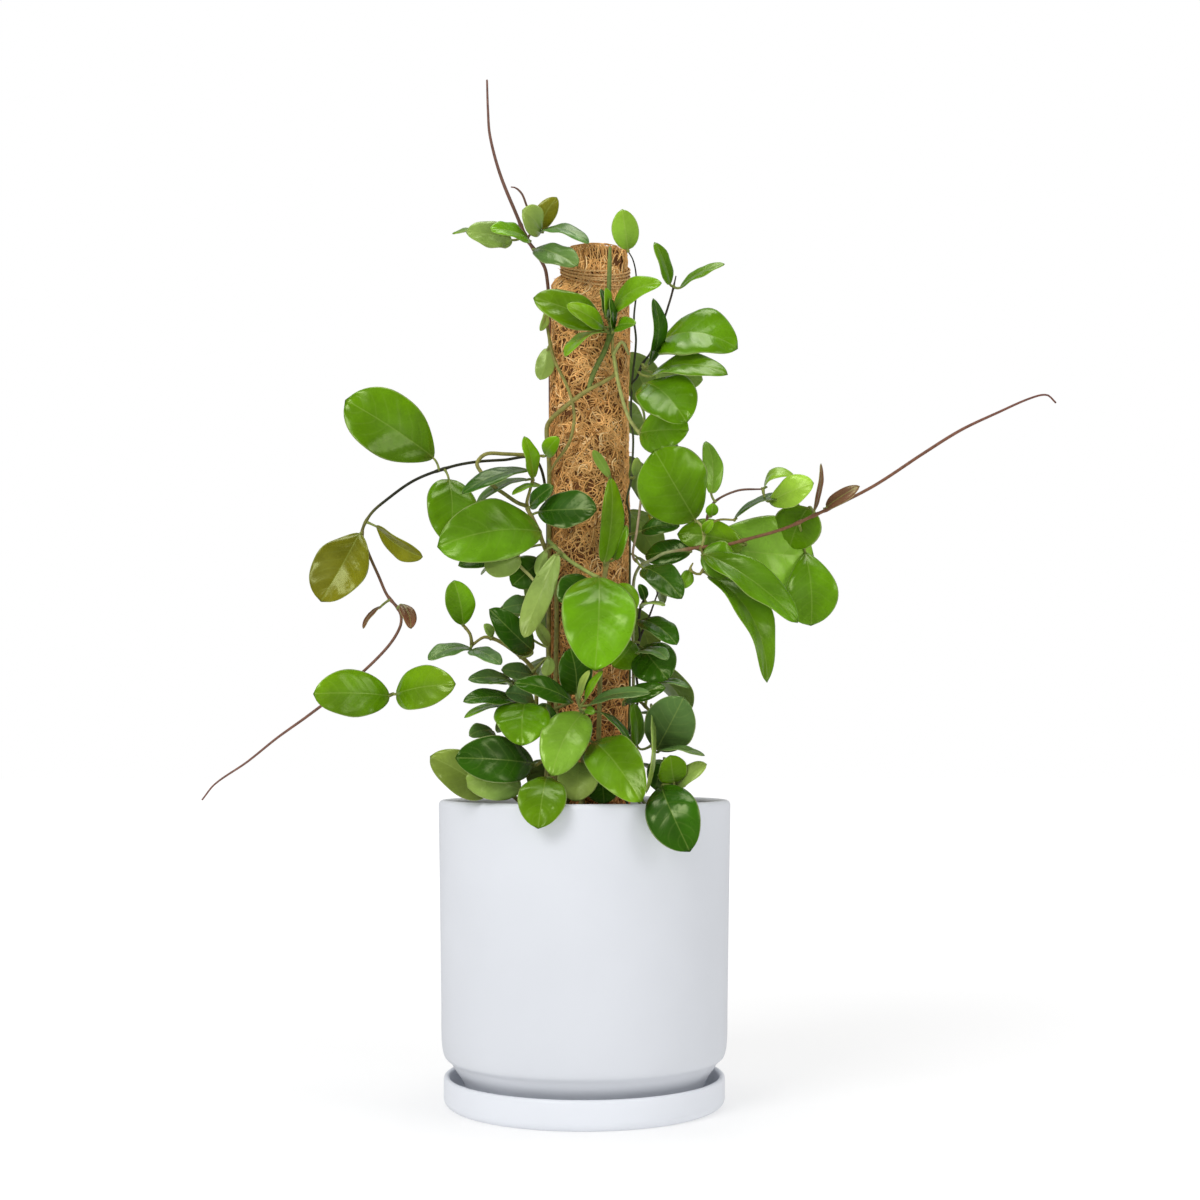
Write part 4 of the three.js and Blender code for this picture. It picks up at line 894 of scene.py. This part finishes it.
# A blade's rings, which end a little before its tip: how many there are, and the shares across of their
# points. A small leaf takes fewer.
BLADE_END = 0.985
FINE_COUNT, FINE_RING = 22, ring_shares([0, 0.035, 0.09, 0.2, 0.36, 0.54, 0.71, 0.85, 0.95, 1])
SMALL_COUNT, SMALL_RING = 12, ring_shares([0, 0.1, 0.35, 0.68, 0.92, 1])
HALF_THICKNESS = 0.75
# Over the midrib the upper face sinks, and under it the underside stands out, within a reach to each side
GROOVE_DEPTH, RIB_HEIGHT, MIDRIB_REACH = 0.35, 0.55, 1.1
# The swelling between the side veins: its height as a share of the width, how many swells there are
# along a blade, and how far, in swells, they bow towards the tip at the edge
QUILT_HEIGHT, QUILT_COUNT, QUILT_BOW = 0.016, 4.5, 1.2


def blade(base, tip, form, draw, towards):
    """A leaf's blade as a closed surface of rings. At a share s along, the half width is that of the
    outline sqrt(sin(pi s^belly)), with a belly that differs a little between the halves, and the last
    part is a small point. The midrib bows to the upper face by 4 arch s (1 - s). Each half rises from
    it by the fold as |v|^1.6, where v is the share across, less towards both ends, and curls back at
    its margin. Small waves run along the edges, a low swelling lies between the side veins, and the
    blade twists a little."""
    width, roll, arch, fold, age = form[:5]
    belly = form[5] if len(form) > 5 else 1.0
    along, across, face = leaf_axes(base, tip, roll, towards)
    length = np.linalg.norm(tip - base)
    count, (v, side) = (SMALL_COUNT, SMALL_RING) if length < SMALL_LEAF else (FINE_COUNT, FINE_RING)
    out = np.abs(v)
    even = np.arange(1, count + 1) / (count + 1)
    oval = (0.45 * even + 0.55 * (1 - np.cos(np.pi * even)) / 2)[:, None]
    s = BLADE_END * oval
    skew = draw.uniform(-0.12, 0.12) * np.sign(v)
    spread = width / 2 * np.sin(np.pi * oval ** (belly + skew)) ** 0.5
    twist = np.radians(draw.uniform(-9, 9)) * (s - 0.4)
    cup = width / 2 * np.sin(np.pi * oval**belly)
    curl = draw.uniform(0.2, 1.1) * np.maximum(out - 0.6, 0) ** 2
    lift = (out**1.6 * math.sin(math.radians(fold)) - curl) * cup
    wave_turns = draw.uniform(1.0, 2.2, 2)
    wave_start = draw.uniform(0, 2 * np.pi, 2)
    waves = [np.sin(2 * np.pi * n * s + start) for n, start in zip(wave_turns, wave_start)]
    wave_height = draw.uniform(0.025, 0.07) * width
    quilt = np.sin(2 * np.pi * (QUILT_COUNT * s - QUILT_BOW * out) + wave_start[0]) * 4 * out * (1 - out)
    edge_waves = wave_height * v**2 * np.where(v > 0, waves[0], waves[1]) * np.sin(np.pi * s)
    lift = lift + QUILT_HEIGHT * width * quilt + edge_waves
    reach = v * spread * math.cos(math.radians(fold))
    half = HALF_THICKNESS * (1 - np.abs(2 * s - 1) ** 8) ** 0.5 * (1 - out**4) ** 0.5
    midrib = np.exp(-((v * spread / MIDRIB_REACH) ** 2)) * (1 - s) ** 0.5
    height = half * side + np.where(side > 0, -GROOVE_DEPTH, -RIB_HEIGHT) * midrib * np.abs(side)
    bend = draw.uniform(-0.05, 0.05) * length * np.sin(np.pi * s)
    middle = base + along * (s * length)[..., None] + face * (4 * arch * s * (1 - s) * length)[..., None]
    turned_across = across * np.cos(twist)[..., None] + face * np.sin(twist)[..., None]
    turned_face = face * np.cos(twist)[..., None] - across * np.sin(twist)[..., None]
    points = middle + turned_across * (reach + bend)[..., None] + turned_face * (lift + height)[..., None]
    points = np.concatenate([points.reshape(-1, 3), [base], [tip]])
    quads, triangles = ring_faces(count, len(v))
    tint = leaf_tint(age, draw, s, v, side)
    shares = np.stack(np.broadcast_arrays(s, v, reach), -1).reshape(-1, 3)
    shares = np.concatenate([shares, [[0, 0, 0], [1, 0, 0]]])
    return new_part(points, quads, triangles, tint, shares)


def leaf_tint(age, draw, s, v, side):
    """The tint of each point of a blade: the age's tone with a small change for each leaf, stronger or
    weaker from the base to the tip, one half painted darker than the other as painted shade of the fold,
    deeper along the spine, and yellower towards an end, with a soft patch of painted sheen. The base and
    the rim take some of the stalk's and the rim's tones, and the underside some of its own, which is
    duller."""
    tone = linear(LEAF_TONES[age]) * draw.uniform(0.86, 1.12) * np.array([draw.uniform(0.92, 1.12), 1, 1])
    tint = np.broadcast_to(tone, (*np.broadcast_shapes(s.shape, v.shape), 3))
    along = draw.uniform(-0.1, 0.5) * (s - 0.45)
    # Painted shade: one half of the blade painted darker than the other, as its fold would shade it
    painted_half_shade = draw.uniform(-0.18, 0.18) * np.tanh(5 * v)
    spine = draw.uniform(0.05, 0.3) * (0.4 - np.exp(-((v / 0.5) ** 2)) * (1.2 - s))
    tint = tint * (1 + along + painted_half_shade + spine)[..., None]
    yellow = draw.uniform(-0.12, 0.3) * (s - 0.4) + 0 * v
    tint = tint * (1 + yellow[..., None] * np.array([1, 0.3, -0.6]))
    # A painted sheen: a soft pale patch painted where a highlight would show
    place = ((s - draw.uniform(0.3, 0.7)) / 0.24) ** 2 + ((v - draw.uniform(-0.6, 0.6)) / 0.42) ** 2
    painted_sheen = (draw.uniform(0, 0.04) * np.exp(-place))[..., None]
    tint = tint * (1 - painted_sheen) + linear(PAINTED_SHEEN_TONE) * painted_sheen
    under = (side < 0)[None, :, None] * UNDERSIDE_SHARE
    tint = tint * (1 - under) + linear(UNDERSIDE_TONE) * under
    rim = (np.abs(v) > 0.97)[None, :, None] * RIM_SHARE
    tint = tint * (1 - rim) + linear(RIM_TONE) * rim
    root = (np.clip(1 - s / 0.12, 0, 1) * 0.3)[..., None]
    tint = tint * (1 - root) + linear(PETIOLE_TONE) * root
    return np.concatenate([tint.reshape(-1, 3), [linear(PETIOLE_TONE)], [tone * 0.8]])


def nearest_on(stems, base):
    """The point of the stems nearest to a leaf's base, on the straight lines between their points."""
    best = None
    for points in stems:
        start, way = points[:-1], np.diff(points, axis=0)
        share = np.clip(np.sum((base - start) * way, 1) / np.maximum(np.sum(way * way, 1), 1e-9), 0, 1)
        near = start + share[:, None] * way
        gap = np.linalg.norm(near - base, axis=1)
        i = int(np.argmin(gap))
        if best is None or gap[i] < best[0]:
            best = (gap[i], near[i])
    return best[1]


def stalk(root, base, tip):
    """A leaf's stalk: a curve that leaves the stem towards the base and comes in along the midrib."""
    along = unit(tip - base)
    gap = np.linalg.norm(base - root)
    start = root if gap > 2 else base - along * 2
    t = np.linspace(0, 1, 8)[:, None]
    bend = base - along * 0.4 * max(gap, 2) + np.array([0, 0, -0.06 * gap])
    end = base + along * 3
    line = (1 - t) ** 2 * start + 2 * t * (1 - t) * bend + t**2 * end
    radii = np.interp(t[:, 0], [0, 0.2, 0.8, 1], [1.5, 1.0, 0.95, 0.7]) * PETIOLE_RADIUS
    return tube(line, radii, 6, linear(PETIOLE_TONE), material=1)


def stem_tube(points, radius, tone, nodes):
    """A stem along a smooth line, thicker at the nodes where its leaves stand, and finer at its end."""
    line = smooth_line(points, 3.0)
    share = np.linspace(0, 1, len(line))
    radii = radius * np.interp(share, [0, 0.85, 1], [1, 0.95, 0.55])
    if len(nodes):
        gap = np.linalg.norm(line[:, None] - np.asarray(nodes)[None], axis=2).min(axis=1)
        radii = radii * (1 + 0.4 * np.exp(-((gap / 2.6) ** 2)))
    stops, tones = zip(*STEM_TONES[tone])
    tints = np.stack([np.interp(share, stops, light) for light in linear(tones).T], -1)
    return tube(line, radii, 8, tints, material=1)


def fine_vine(name, stems, radii, leaves, seed):
    """A vine's stems and leaves as one piece that stands for its node. A leaf is its base, its tip, its
    form and the direction that it faces."""
    draw = np.random.default_rng(seed)
    parts, roots = [], []
    for base, tip, form, towards in leaves:
        root = nearest_on(stems, base)
        roots.append(root)
        parts.append(blade(base, tip, form, draw, towards))
        parts.append(stalk(root, base, tip))
    for points, radius, tone in zip(stems, radii, VINE_STEM_TONES[name]):
        parts.append(stem_tube(points, radius, tone, roots))
    new_piece(name.replace("vine", "leaves"), parts, [LEAF, STEM], [name])


FRONT = np.array([0.0, -1.0, 0.0])


def listed_vine(name, rows, seed):
    """A vine from its rows in the table."""
    stems, radii = [], []
    for radius, start, path in rows["stems"]:
        rising = climb(start[0], start[1], start[-1] if len(start) > 2 else start[0]) if start else []
        stems.append(np.array(rising + [seen(place) for place in path]))
        radii.append(radius)
    leaves = [(seen(row[0]), seen(row[1]), row[2:], FRONT) for row in rows["leaves"]]
    fine_vine(name, stems, radii, leaves, seed)


def draw_from(seed):
    """A repeatable draw from 0 to 1."""
    state = seed
    while True:
        state = state * 16807 % 2147483647
        yield state / 2147483647


def back_vine(name, rule):
    """A vine on the back of the pole: at each node two leaves that point out and hang down."""
    draws = draw_from(rule["seed"])

    def between(ends):
        return ends[0] + (ends[1] - ends[0]) * next(draws)

    stem = np.array(climb(rule["turn"], rule["top"], rule["endTurn"]))
    leaves, z = [], BACK["firstNode"]
    while z < rule["top"]:
        share = (z - BACK["firstNode"]) / (rule["top"] - BACK["firstNode"])
        turn = rule["turn"] + (rule["endTurn"] - rule["turn"]) * share
        for hand in (-1, 1):
            angle = math.radians(turn + hand * between(BACK["spread"]))
            out = np.array([math.cos(angle), math.sin(angle), 0])
            length = between(BACK["length"])
            droop = math.radians(between(BACK["droop"]))
            away = POLE_RADIUS + STEM_ROOT["clear"] + between(BACK["petiole"])
            base = out * away + [POLE_X, 0, z + BACK["lift"]]
            tip = base + out * length * math.cos(droop) - [0, 0, length * math.sin(droop)]
            roll = BACK["roll"] * (2 * next(draws) - 1)
            form = (BACK["shape"] * length, roll, BACK["arch"], BACK["fold"], BACK["age"])
            leaves.append((base, tip, form, unit(out + [0, 0, 1])))
        z += between(BACK["rise"])
    fine_vine(name, [stem], [BACK["stemRadius"]], leaves, rule["seed"])


for seed, (vine_name, rows) in enumerate(VINES.items(), 100):
    listed_vine(vine_name, rows, seed)
for vine_name, rule in BACK_VINES.items():
    back_vine(vine_name, rule)


# The pole

SWELL_HEIGHT = 0.9


def swell(angle, z):
    """The wrap's slow lumps, from -1 to 1: sums of waves round it and up it."""
    return (np.sin(3 * angle + z * 0.031) + np.sin(5 * angle - z * 0.047 + 1.3)
            + np.sin(2 * angle + z * 0.083 + 4.1)) / 3


def on_wrap(angle, z, out):
    """The points that stand out from the coir wrap at an angle and a height: the radius, the shift and
    the tilt are those of the levels, and the slow lumps are added to the radius."""
    radius, aside, tilt = (np.interp(z, WRAP_LEVELS[:, 0], WRAP_LEVELS[:, i]) for i in (1, 2, 3))
    radius = radius + swell(angle, z) * SWELL_HEIGHT + out
    x, y = radius * np.cos(angle), radius * np.sin(angle)
    lean = tilt * (TILT_FORWARD * y - TILT_RIGHT * x)
    return np.stack(np.broadcast_arrays(POLE_X + aside + x, y, z + lean), -1)


def coir_core():
    """The dark inside of the wrap: a column of rings with lumps, under the fibres."""
    sides = 72
    z = np.concatenate([np.linspace(POLE_BOTTOM, 690, 140), np.linspace(694, 733, 18)])[:, None]
    angle = 2 * np.pi * np.arange(sides)[None, :] / sides
    lump = 0.5 * np.sin(11 * angle + z * 0.31) * np.sin(7 * angle - z * 0.23)
    rings = on_wrap(angle, z, lump - 1.4)
    points = np.concatenate([rings.reshape(-1, 3), [[POLE_X, 0, POLE_BOTTOM]], [[TIE_X, 0, 732]]])
    quads, triangles = ring_faces(len(z), sides)
    part = new_part(points, quads, triangles, linear(CORE_TONE))
    new_piece("coir_core", [part], [COIR], ["coir_wrap"])


FIBRE_STEPS = 8
# A few more fibres start near the top: their share, and the heights that they start between
NECK_SHARE, NECK_HEIGHTS = 0.05, (700, 731)


def fibre_lines(count, draw):
    """Centre lines of curled fibres on the wrap. Each starts at a drawn place, heads the way that a slow
    swirl gives there, and turns at a drawn rate. Its middle stands out and its ends sink in."""
    steps = np.linspace(0, 1, FIBRE_STEPS)[None, :]
    in_neck = draw.uniform(0, 1, count) < NECK_SHARE
    neck_z = draw.uniform(*NECK_HEIGHTS, count)
    wrap_z = draw.uniform(SOIL_TOP - 8, NECK_HEIGHTS[1], count)
    z0 = np.where(in_neck, neck_z, wrap_z)[:, None]
    a0 = draw.uniform(0, 2 * np.pi, count)[:, None]
    swirl = 2.6 * np.sin(3 * a0 + z0 * 0.05) + 2.2 * np.sin(z0 * 0.11 - 4 * a0)
    heading = swirl + draw.normal(0, 0.6, (count, 1))
    length = draw.uniform(16, 38, count)[:, None]
    curl = draw.choice([-1.0, 1.0], (count, 1)) * draw.uniform(0.8, 5.2, (count, 1))
    way = heading + curl * steps + 0.3 * np.sin(2 * np.pi * (steps * 1.5 + draw.uniform(0, 1, (count, 1))))
    pace = length / (FIBRE_STEPS - 1)
    along_ring = np.cumsum(np.cos(way) * pace, axis=1)
    z = np.clip(z0 + np.cumsum(np.sin(way) * pace, axis=1), SOIL_TOP - 12, 736)
    angle = a0 + along_ring / POLE_RADIUS
    stand = draw.uniform(0.1, 1.5, count)[:, None] * np.sin(np.pi * steps) - 0.7
    return on_wrap(angle, z, stand)


# The wrap's top: its radius, where the fibres begin to bend down, and its height
CROWN_RADIUS, CROWN_EDGE, CROWN_Z = 28.5, 27, 734


def crown_lines(count, draw):
    """Fibres over the top of the wrap, which lie across it and bend down over its edge."""
    steps = np.linspace(-1, 1, FIBRE_STEPS)[None, :]
    angle = draw.uniform(0, 2 * np.pi, count)[:, None]
    centre = draw.uniform(3, 25, count)[:, None]
    length = draw.uniform(8, 20, count)[:, None]
    bow = draw.uniform(-5, 5, count)[:, None]
    along = length * steps
    x = centre * np.cos(angle) - np.sin(angle) * along + np.cos(angle) * bow * steps**2
    y = centre * np.sin(angle) + np.cos(angle) * along + np.sin(angle) * bow * steps**2
    out = np.hypot(x, y)
    shrink = np.minimum(1, CROWN_RADIUS / np.maximum(out, 1e-6))
    bend = 0.9 * np.maximum(0, out - CROWN_EDGE)
    z = CROWN_Z + draw.uniform(-1, 3.2, count)[:, None] * (1 - steps**2) - bend
    return np.stack([TIE_X + x * shrink, y * shrink, z], -1)


def stray_lines(count, draw):
    """Loose ends that stand out of the wrap."""
    steps = np.linspace(0, 1, FIBRE_STEPS)[None, :]
    z = draw.uniform(SOIL_TOP + 10, 733, count)[:, None]
    angle = draw.uniform(0, 2 * np.pi, count)[:, None]
    lift = draw.uniform(2, 6, count)[:, None]
    run = draw.normal(0, 9, (count, 1))
    rise = draw.normal(0, 7, (count, 1))
    return on_wrap(angle + run * steps / POLE_RADIUS, z + rise * steps, lift * steps**1.5 - 1)


# The fibres grow darker from this height down, over this length, by this share
DARK_BELOW, DARK_LENGTH, DARK_SHARE = 470, 240, 0.42


def fibre_tints(z, draw):
    """A tint for each fibre: a drawn tone, lighter or darker by a draw, and darker low on the pole."""
    count = len(z)
    tones = linear(FIBRE_TONES)[draw.choice(len(FIBRE_TONES), count, p=FIBRE_SHARES)]
    tint = tones * draw.uniform(0.85, 1.24, (count, 1))
    low = np.clip((DARK_BELOW - z[:, 0]) / DARK_LENGTH, 0, 1)[:, None]
    tint = tint * (1 - DARK_SHARE * low * np.array([0.6, 1, 1.2]))
    return tint[:, None, :]


def coir_fibres(name, seed, count, crown, stray):
    """One layer of the wrap's fibres: the curled ones, those over the top, and the finer loose ends."""
    draw = np.random.default_rng(seed)
    lines = np.concatenate([fibre_lines(count, draw), crown_lines(crown, draw), stray_lines(stray, draw)])
    taper = np.array([0.5, 0.9, 1, 1, 1, 1, 0.9, 0.45])
    radii = draw.uniform(0.38, 0.72, len(lines))[:, None] * taper[None, :]
    radii[-stray:] *= 0.45
    tints = fibre_tints(lines[:, :, 2], draw)
    new_piece(name, [tubes(lines, radii, 3, tints)], [COIR])


coir_core()
coir_fibres("coir_fibres_under", 21, 3950, 130, 20)
coir_fibres("coir_fibres_over", 22, 3930, 130, 50)


def tie_cord():
    """The tie: five turns of two-ply cord round the wrap's neck, each ply a spiral about the cord's line.
    The turns spread a little to the right, and dip to the front and to the right."""
    turns, ring, thick, pitch = 5, 30.2, 0.56, 7.0
    t = np.linspace(0, turns, 760)
    angle = 2 * np.pi * t - 1.2
    x, y = ring * np.cos(angle), ring * np.sin(angle)
    spreading = 2.6 + 1.0 * np.cos(angle)
    z = TIE_Z + spreading * (t - turns / 2) + 0.7 * np.sin(4.1 * t) + TILT_FORWARD * y - TILT_RIGHT * x
    line = np.stack([TIE_X + x, y, z], -1)
    out, up = np.stack([np.cos(angle), np.sin(angle), 0 * angle], -1), np.array([0, 0, 1])
    spin = 2 * np.pi * (ring * 2 * np.pi * t) / pitch
    plies = []
    for start in (0, np.pi):
        offset = out * np.cos(spin + start)[:, None] + up * np.sin(spin + start)[:, None]
        plies.append(tube(line + offset * thick * 0.85, thick, 5, (1, 1, 1)))
    new_piece("tie_cord", plies, [CORD], ["tie_band"])


tie_cord()


# The pot, its saucer and the soil

GLAZED_SIDES = 160
# Painted light and shade: the same glaze painted a little darker on the pot and lighter on the saucer
POT_PAINTED_SHADE = (0.95, 0.95, 0.95)
SAUCER_PAINTED_LIGHT = (1.1, 1.1, 1.1)
POT_FLOOR_Z = 16.9
DRAIN_RADIUS = 8


def glazed_pot():
    """The pot: its outer line rises from a rounded foot to a rounded rim, and its inner line comes down
    to a floor with a drain hole."""
    foot = smooth_line([(97, 0, POT_BASE_Z), (102.5, 0, 20), (110, 0, 31.5), (113.7, 0, 37), (118.8, 0, 42),
                        (121, 0, 54), (121.6, 0, 84)], 2.0)[:, [0, 2]]
    side = [(121.6 + 3.4 * (z - 84) / 168, z) for z in np.linspace(90, 250, 12)]
    rim = arc(121, 252, 4, 0, 180, 12)
    inner = [(116.8, 246), (115, 190), (112, 110), (110, 56), (105, 40), (96, 24)]
    floor = [(86, POT_FLOOR_Z), (50, POT_FLOOR_Z), (DRAIN_RADIUS, POT_FLOOR_Z), (DRAIN_RADIUS, POT_BASE_Z)]
    profile = [*foot, *side, *rim, *inner, *floor]
    new_piece("glazed_pot", [turned(profile, GLAZED_SIDES, POT_PAINTED_SHADE)], [GLAZE], ["pot"])


def glazed_saucer():
    """The saucer: a flat underside, a rounded foot, an upright wall, a rounded rim and a raised middle."""
    foot = arc(112, 7, 7, -90, 0, 8)
    rim = arc(116.5, 22.5, 2.5, 0, 180, 10)
    cove = arc(110, 10, 4, 0, -90, 6)
    middle = [(107.4, 6.05), (106.6, 6.5), (60, 6.6), (0, 6.6)]
    profile = [(0, 0), (60, 0), *foot, (119, 12), (119, 18), *rim, (114, 16), *cove, *middle]
    new_piece("glazed_saucer", [turned(profile, GLAZED_SIDES, SAUCER_PAINTED_LIGHT)], [GLAZE], ["saucer"])


HOLE_BOTTOM, SOIL_BOTTOM = 69.7, 17.2
HEAP_START, HEAP_END, HEAP_RINGS = 36.4, 116, 30


def crumbly_soil():
    """The soil: rings from the bottom of the pole's hole, up its wall, out over the bumpy heap, and
    down the inside of the pot. The rings move from the pole's middle to the pot's."""
    sides = 150
    hole = [(35.5, HOLE_BOTTOM), (36, 150), (36.2, 226)]
    width = HEAP_END - HEAP_START
    heap = [(HEAP_START + width * i / HEAP_RINGS, SOIL_TOP) for i in range(HEAP_RINGS + 1)]
    outside = [(115.8, 224), (112, 140), (109, 58), (85, SOIL_BOTTOM)]
    profile = np.array(hole + heap + outside)
    angle = 2 * np.pi * np.arange(sides)[None, :] / sides
    radius, z = profile[:, :1], profile[:, 1:]
    share = np.clip((radius - 36) / 60, 0, 1)
    top = (z == SOIL_TOP) * np.sin(np.pi * np.clip((radius - 34) / 86, 0, 1)) ** 0.5
    x = radius * np.cos(angle) + POLE_X * (1 - share)
    y = radius * np.sin(angle)
    bumps = (np.sin(x * 0.21 + 1.3 * np.sin(y * 0.17)) + np.sin(y * 0.24 + 2 * np.sin(x * 0.13))
             + 0.7 * np.sin(x * 0.61 + y * 0.37) + 0.6 * np.sin(x * 0.47 - y * 0.71))
    z = z + top * bumps * 0.9 + 0 * angle
    rings = np.stack([x, y, z], -1).reshape(-1, 3)
    points = np.concatenate([rings, [[POLE_X, 0, HOLE_BOTTOM]], [[0, 0, SOIL_BOTTOM]]])
    quads, triangles = ring_faces(len(profile), sides)
    flip = new_part(points, quads[:, ::-1], triangles[:, ::-1], (1, 1, 1))
    new_piece("crumbly_soil", [flip, bark_chips(900)], [SOIL], ["soil"])


def bark_chips(count):
    """Small chips on the soil: eight-sided lumps, squashed and turned by seeded draws."""
    draw = np.random.default_rng(7)
    corners = np.array([[1, 0, 0], [0, 1, 0], [-1, 0, 0], [0, -1, 0], [0, 0, 1], [0, 0, -1]], float)
    faces = np.array([[0, 1, 4], [1, 2, 4], [2, 3, 4], [3, 0, 4],
                      [1, 0, 5], [2, 1, 5], [3, 2, 5], [0, 3, 5]])
    size = draw.uniform(1.2, 3.4, (count, 1, 1))
    size = size * draw.uniform([0.6, 0.5, 0.35], [1.3, 1.1, 0.8], (count, 1, 3))
    turn, tilt = draw.uniform(0, 2 * np.pi, count), draw.normal(0, 0.4, count)
    shape = corners[None] * size + draw.normal(0, 0.16, (count, 6, 3)) * size
    x, y, z = shape[..., 0], shape[..., 1], shape[..., 2]
    c, s = np.cos(tilt)[:, None], np.sin(tilt)[:, None]
    y, z = y * c - z * s, y * s + z * c
    c, s = np.cos(turn)[:, None], np.sin(turn)[:, None]
    x, y = x * c - y * s, x * s + y * c
    radius = np.sqrt(draw.uniform(42**2, 111**2, count))
    angle = draw.uniform(0, 2 * np.pi, count)
    middle_x, middle_y = radius * np.cos(angle) + POLE_X * 0.4, radius * np.sin(angle)
    middle = np.stack([middle_x, middle_y, np.full(count, SOIL_TOP + 0.9)], -1)
    points = np.stack([x, y, z], -1) + middle[:, None]
    triangles = (faces[None] + (np.arange(count) * 6)[:, None, None]).reshape(-1, 3)
    return new_part(points.reshape(-1, 3), np.zeros((0, 4), int), triangles, (1, 1, 1))


glazed_pot()
glazed_saucer()
crumbly_soil()
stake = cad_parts["stake"]
stake.data.materials.clear()
stake.data.materials.append(TIMBER)


# The studio

def area_light(name, place, aim, size, power):
    """A square soft light that looks at a point."""
    light = bpy.data.lights.new(name, "AREA")
    light.size, light.energy = size, power
    lamp = bpy.data.objects.new(name, light)
    lamp.location = place
    way = np.array(aim, float) - np.array(place, float)
    tilt = math.atan2(math.hypot(way[0], way[1]), -way[2])
    lamp.rotation_euler = (tilt, 0, math.atan2(way[0], -way[1]) + math.pi)
    bpy.context.scene.collection.objects.link(lamp)


def pale_floor():
    """A wide pale floor, faintly cloudy, that glows more the further it is from the plant, so that it is
    darker round the plant: a glow in place of light, with a painted shadow round the pot.
    """
    mesh = bpy.data.meshes.new("floor")
    reach = 14.0
    corners = [(-reach, -reach, 0), (reach, -reach, 0), (reach, reach, 0), (-reach, reach, 0)]
    mesh.from_pydata(corners, [], [(0, 1, 2, 3)])
    floor = bpy.data.objects.new("floor", mesh)
    floor.visible_glossy = False
    bpy.context.scene.collection.objects.link(floor)
    material, tree, shader = new_material("pale_floor", 0.9, 0.1)
    coloured(tree, shader, mixed(tree, mottled(tree, 1.5), (0.6, 0.6, 0.6, 1), (0.62, 0.62, 0.62, 1)))
    place = node(tree, "ShaderNodeTexCoord").outputs["Object"]
    away = node(tree, "ShaderNodeVectorMath", {0: place}, operation="LENGTH").outputs["Value"]
    # A glow in place of light, weaker near the plant: a painted shadow round the pot
    tree.links.new(grey(tree, stepped(tree, away, 0.15, 2.4, 0.4, 0.75)), shader.inputs["Emission Color"])
    shader.inputs["Emission Strength"].default_value = 1.0
    mesh.materials.append(material)


def surround():
    """A white surround that lights softly from everywhere. It looks full white itself, and in
    reflections it is dim on the viewer's side and bright behind the plant."""
    world = bpy.data.worlds.new("surround")
    bpy.context.scene.world = world
    world.use_nodes = True
    tree = world.node_tree
    tree.nodes.clear()
    path = node(tree, "ShaderNodeLightPath").outputs
    direct = maths(tree, "MULTIPLY_ADD", path["Is Camera Ray"], 0.46, 0.54)
    direction = node(tree, "ShaderNodeTexCoord").outputs["Generated"]
    behind = node(tree, "ShaderNodeSeparateXYZ", {0: direction}).outputs[1]
    mirrored = stepped(tree, behind, 0.0, 0.8, 0.06, 0.6)
    strength = node(tree, "ShaderNodeMix", {0: path["Is Glossy Ray"], 2: direct, 3: mirrored}).outputs[0]
    background = node(tree, "ShaderNodeBackground", {"Color": (1, 1, 1, 1), "Strength": strength})
    output = node(tree, "ShaderNodeOutputWorld")
    tree.links.new(background.outputs[0], output.inputs[0])


def studio():
    """The floor, the surround, and three large soft lights that look at the plant's middle."""
    pale_floor()
    surround()
    middle = (0.0, 0.0, 0.4)
    area_light("key", (-1.4, -2.0, 1.7), middle, 1.2, 30)
    area_light("fill", (1.9, -1.4, 1.1), middle, 0.9, 8)
    area_light("top", (0.1, 0.1, 2.7), middle, 1.3, 22)
    scene = bpy.context.scene
    scene.view_settings.view_transform = "Standard"
    scene.view_settings.look = "None"


studio()
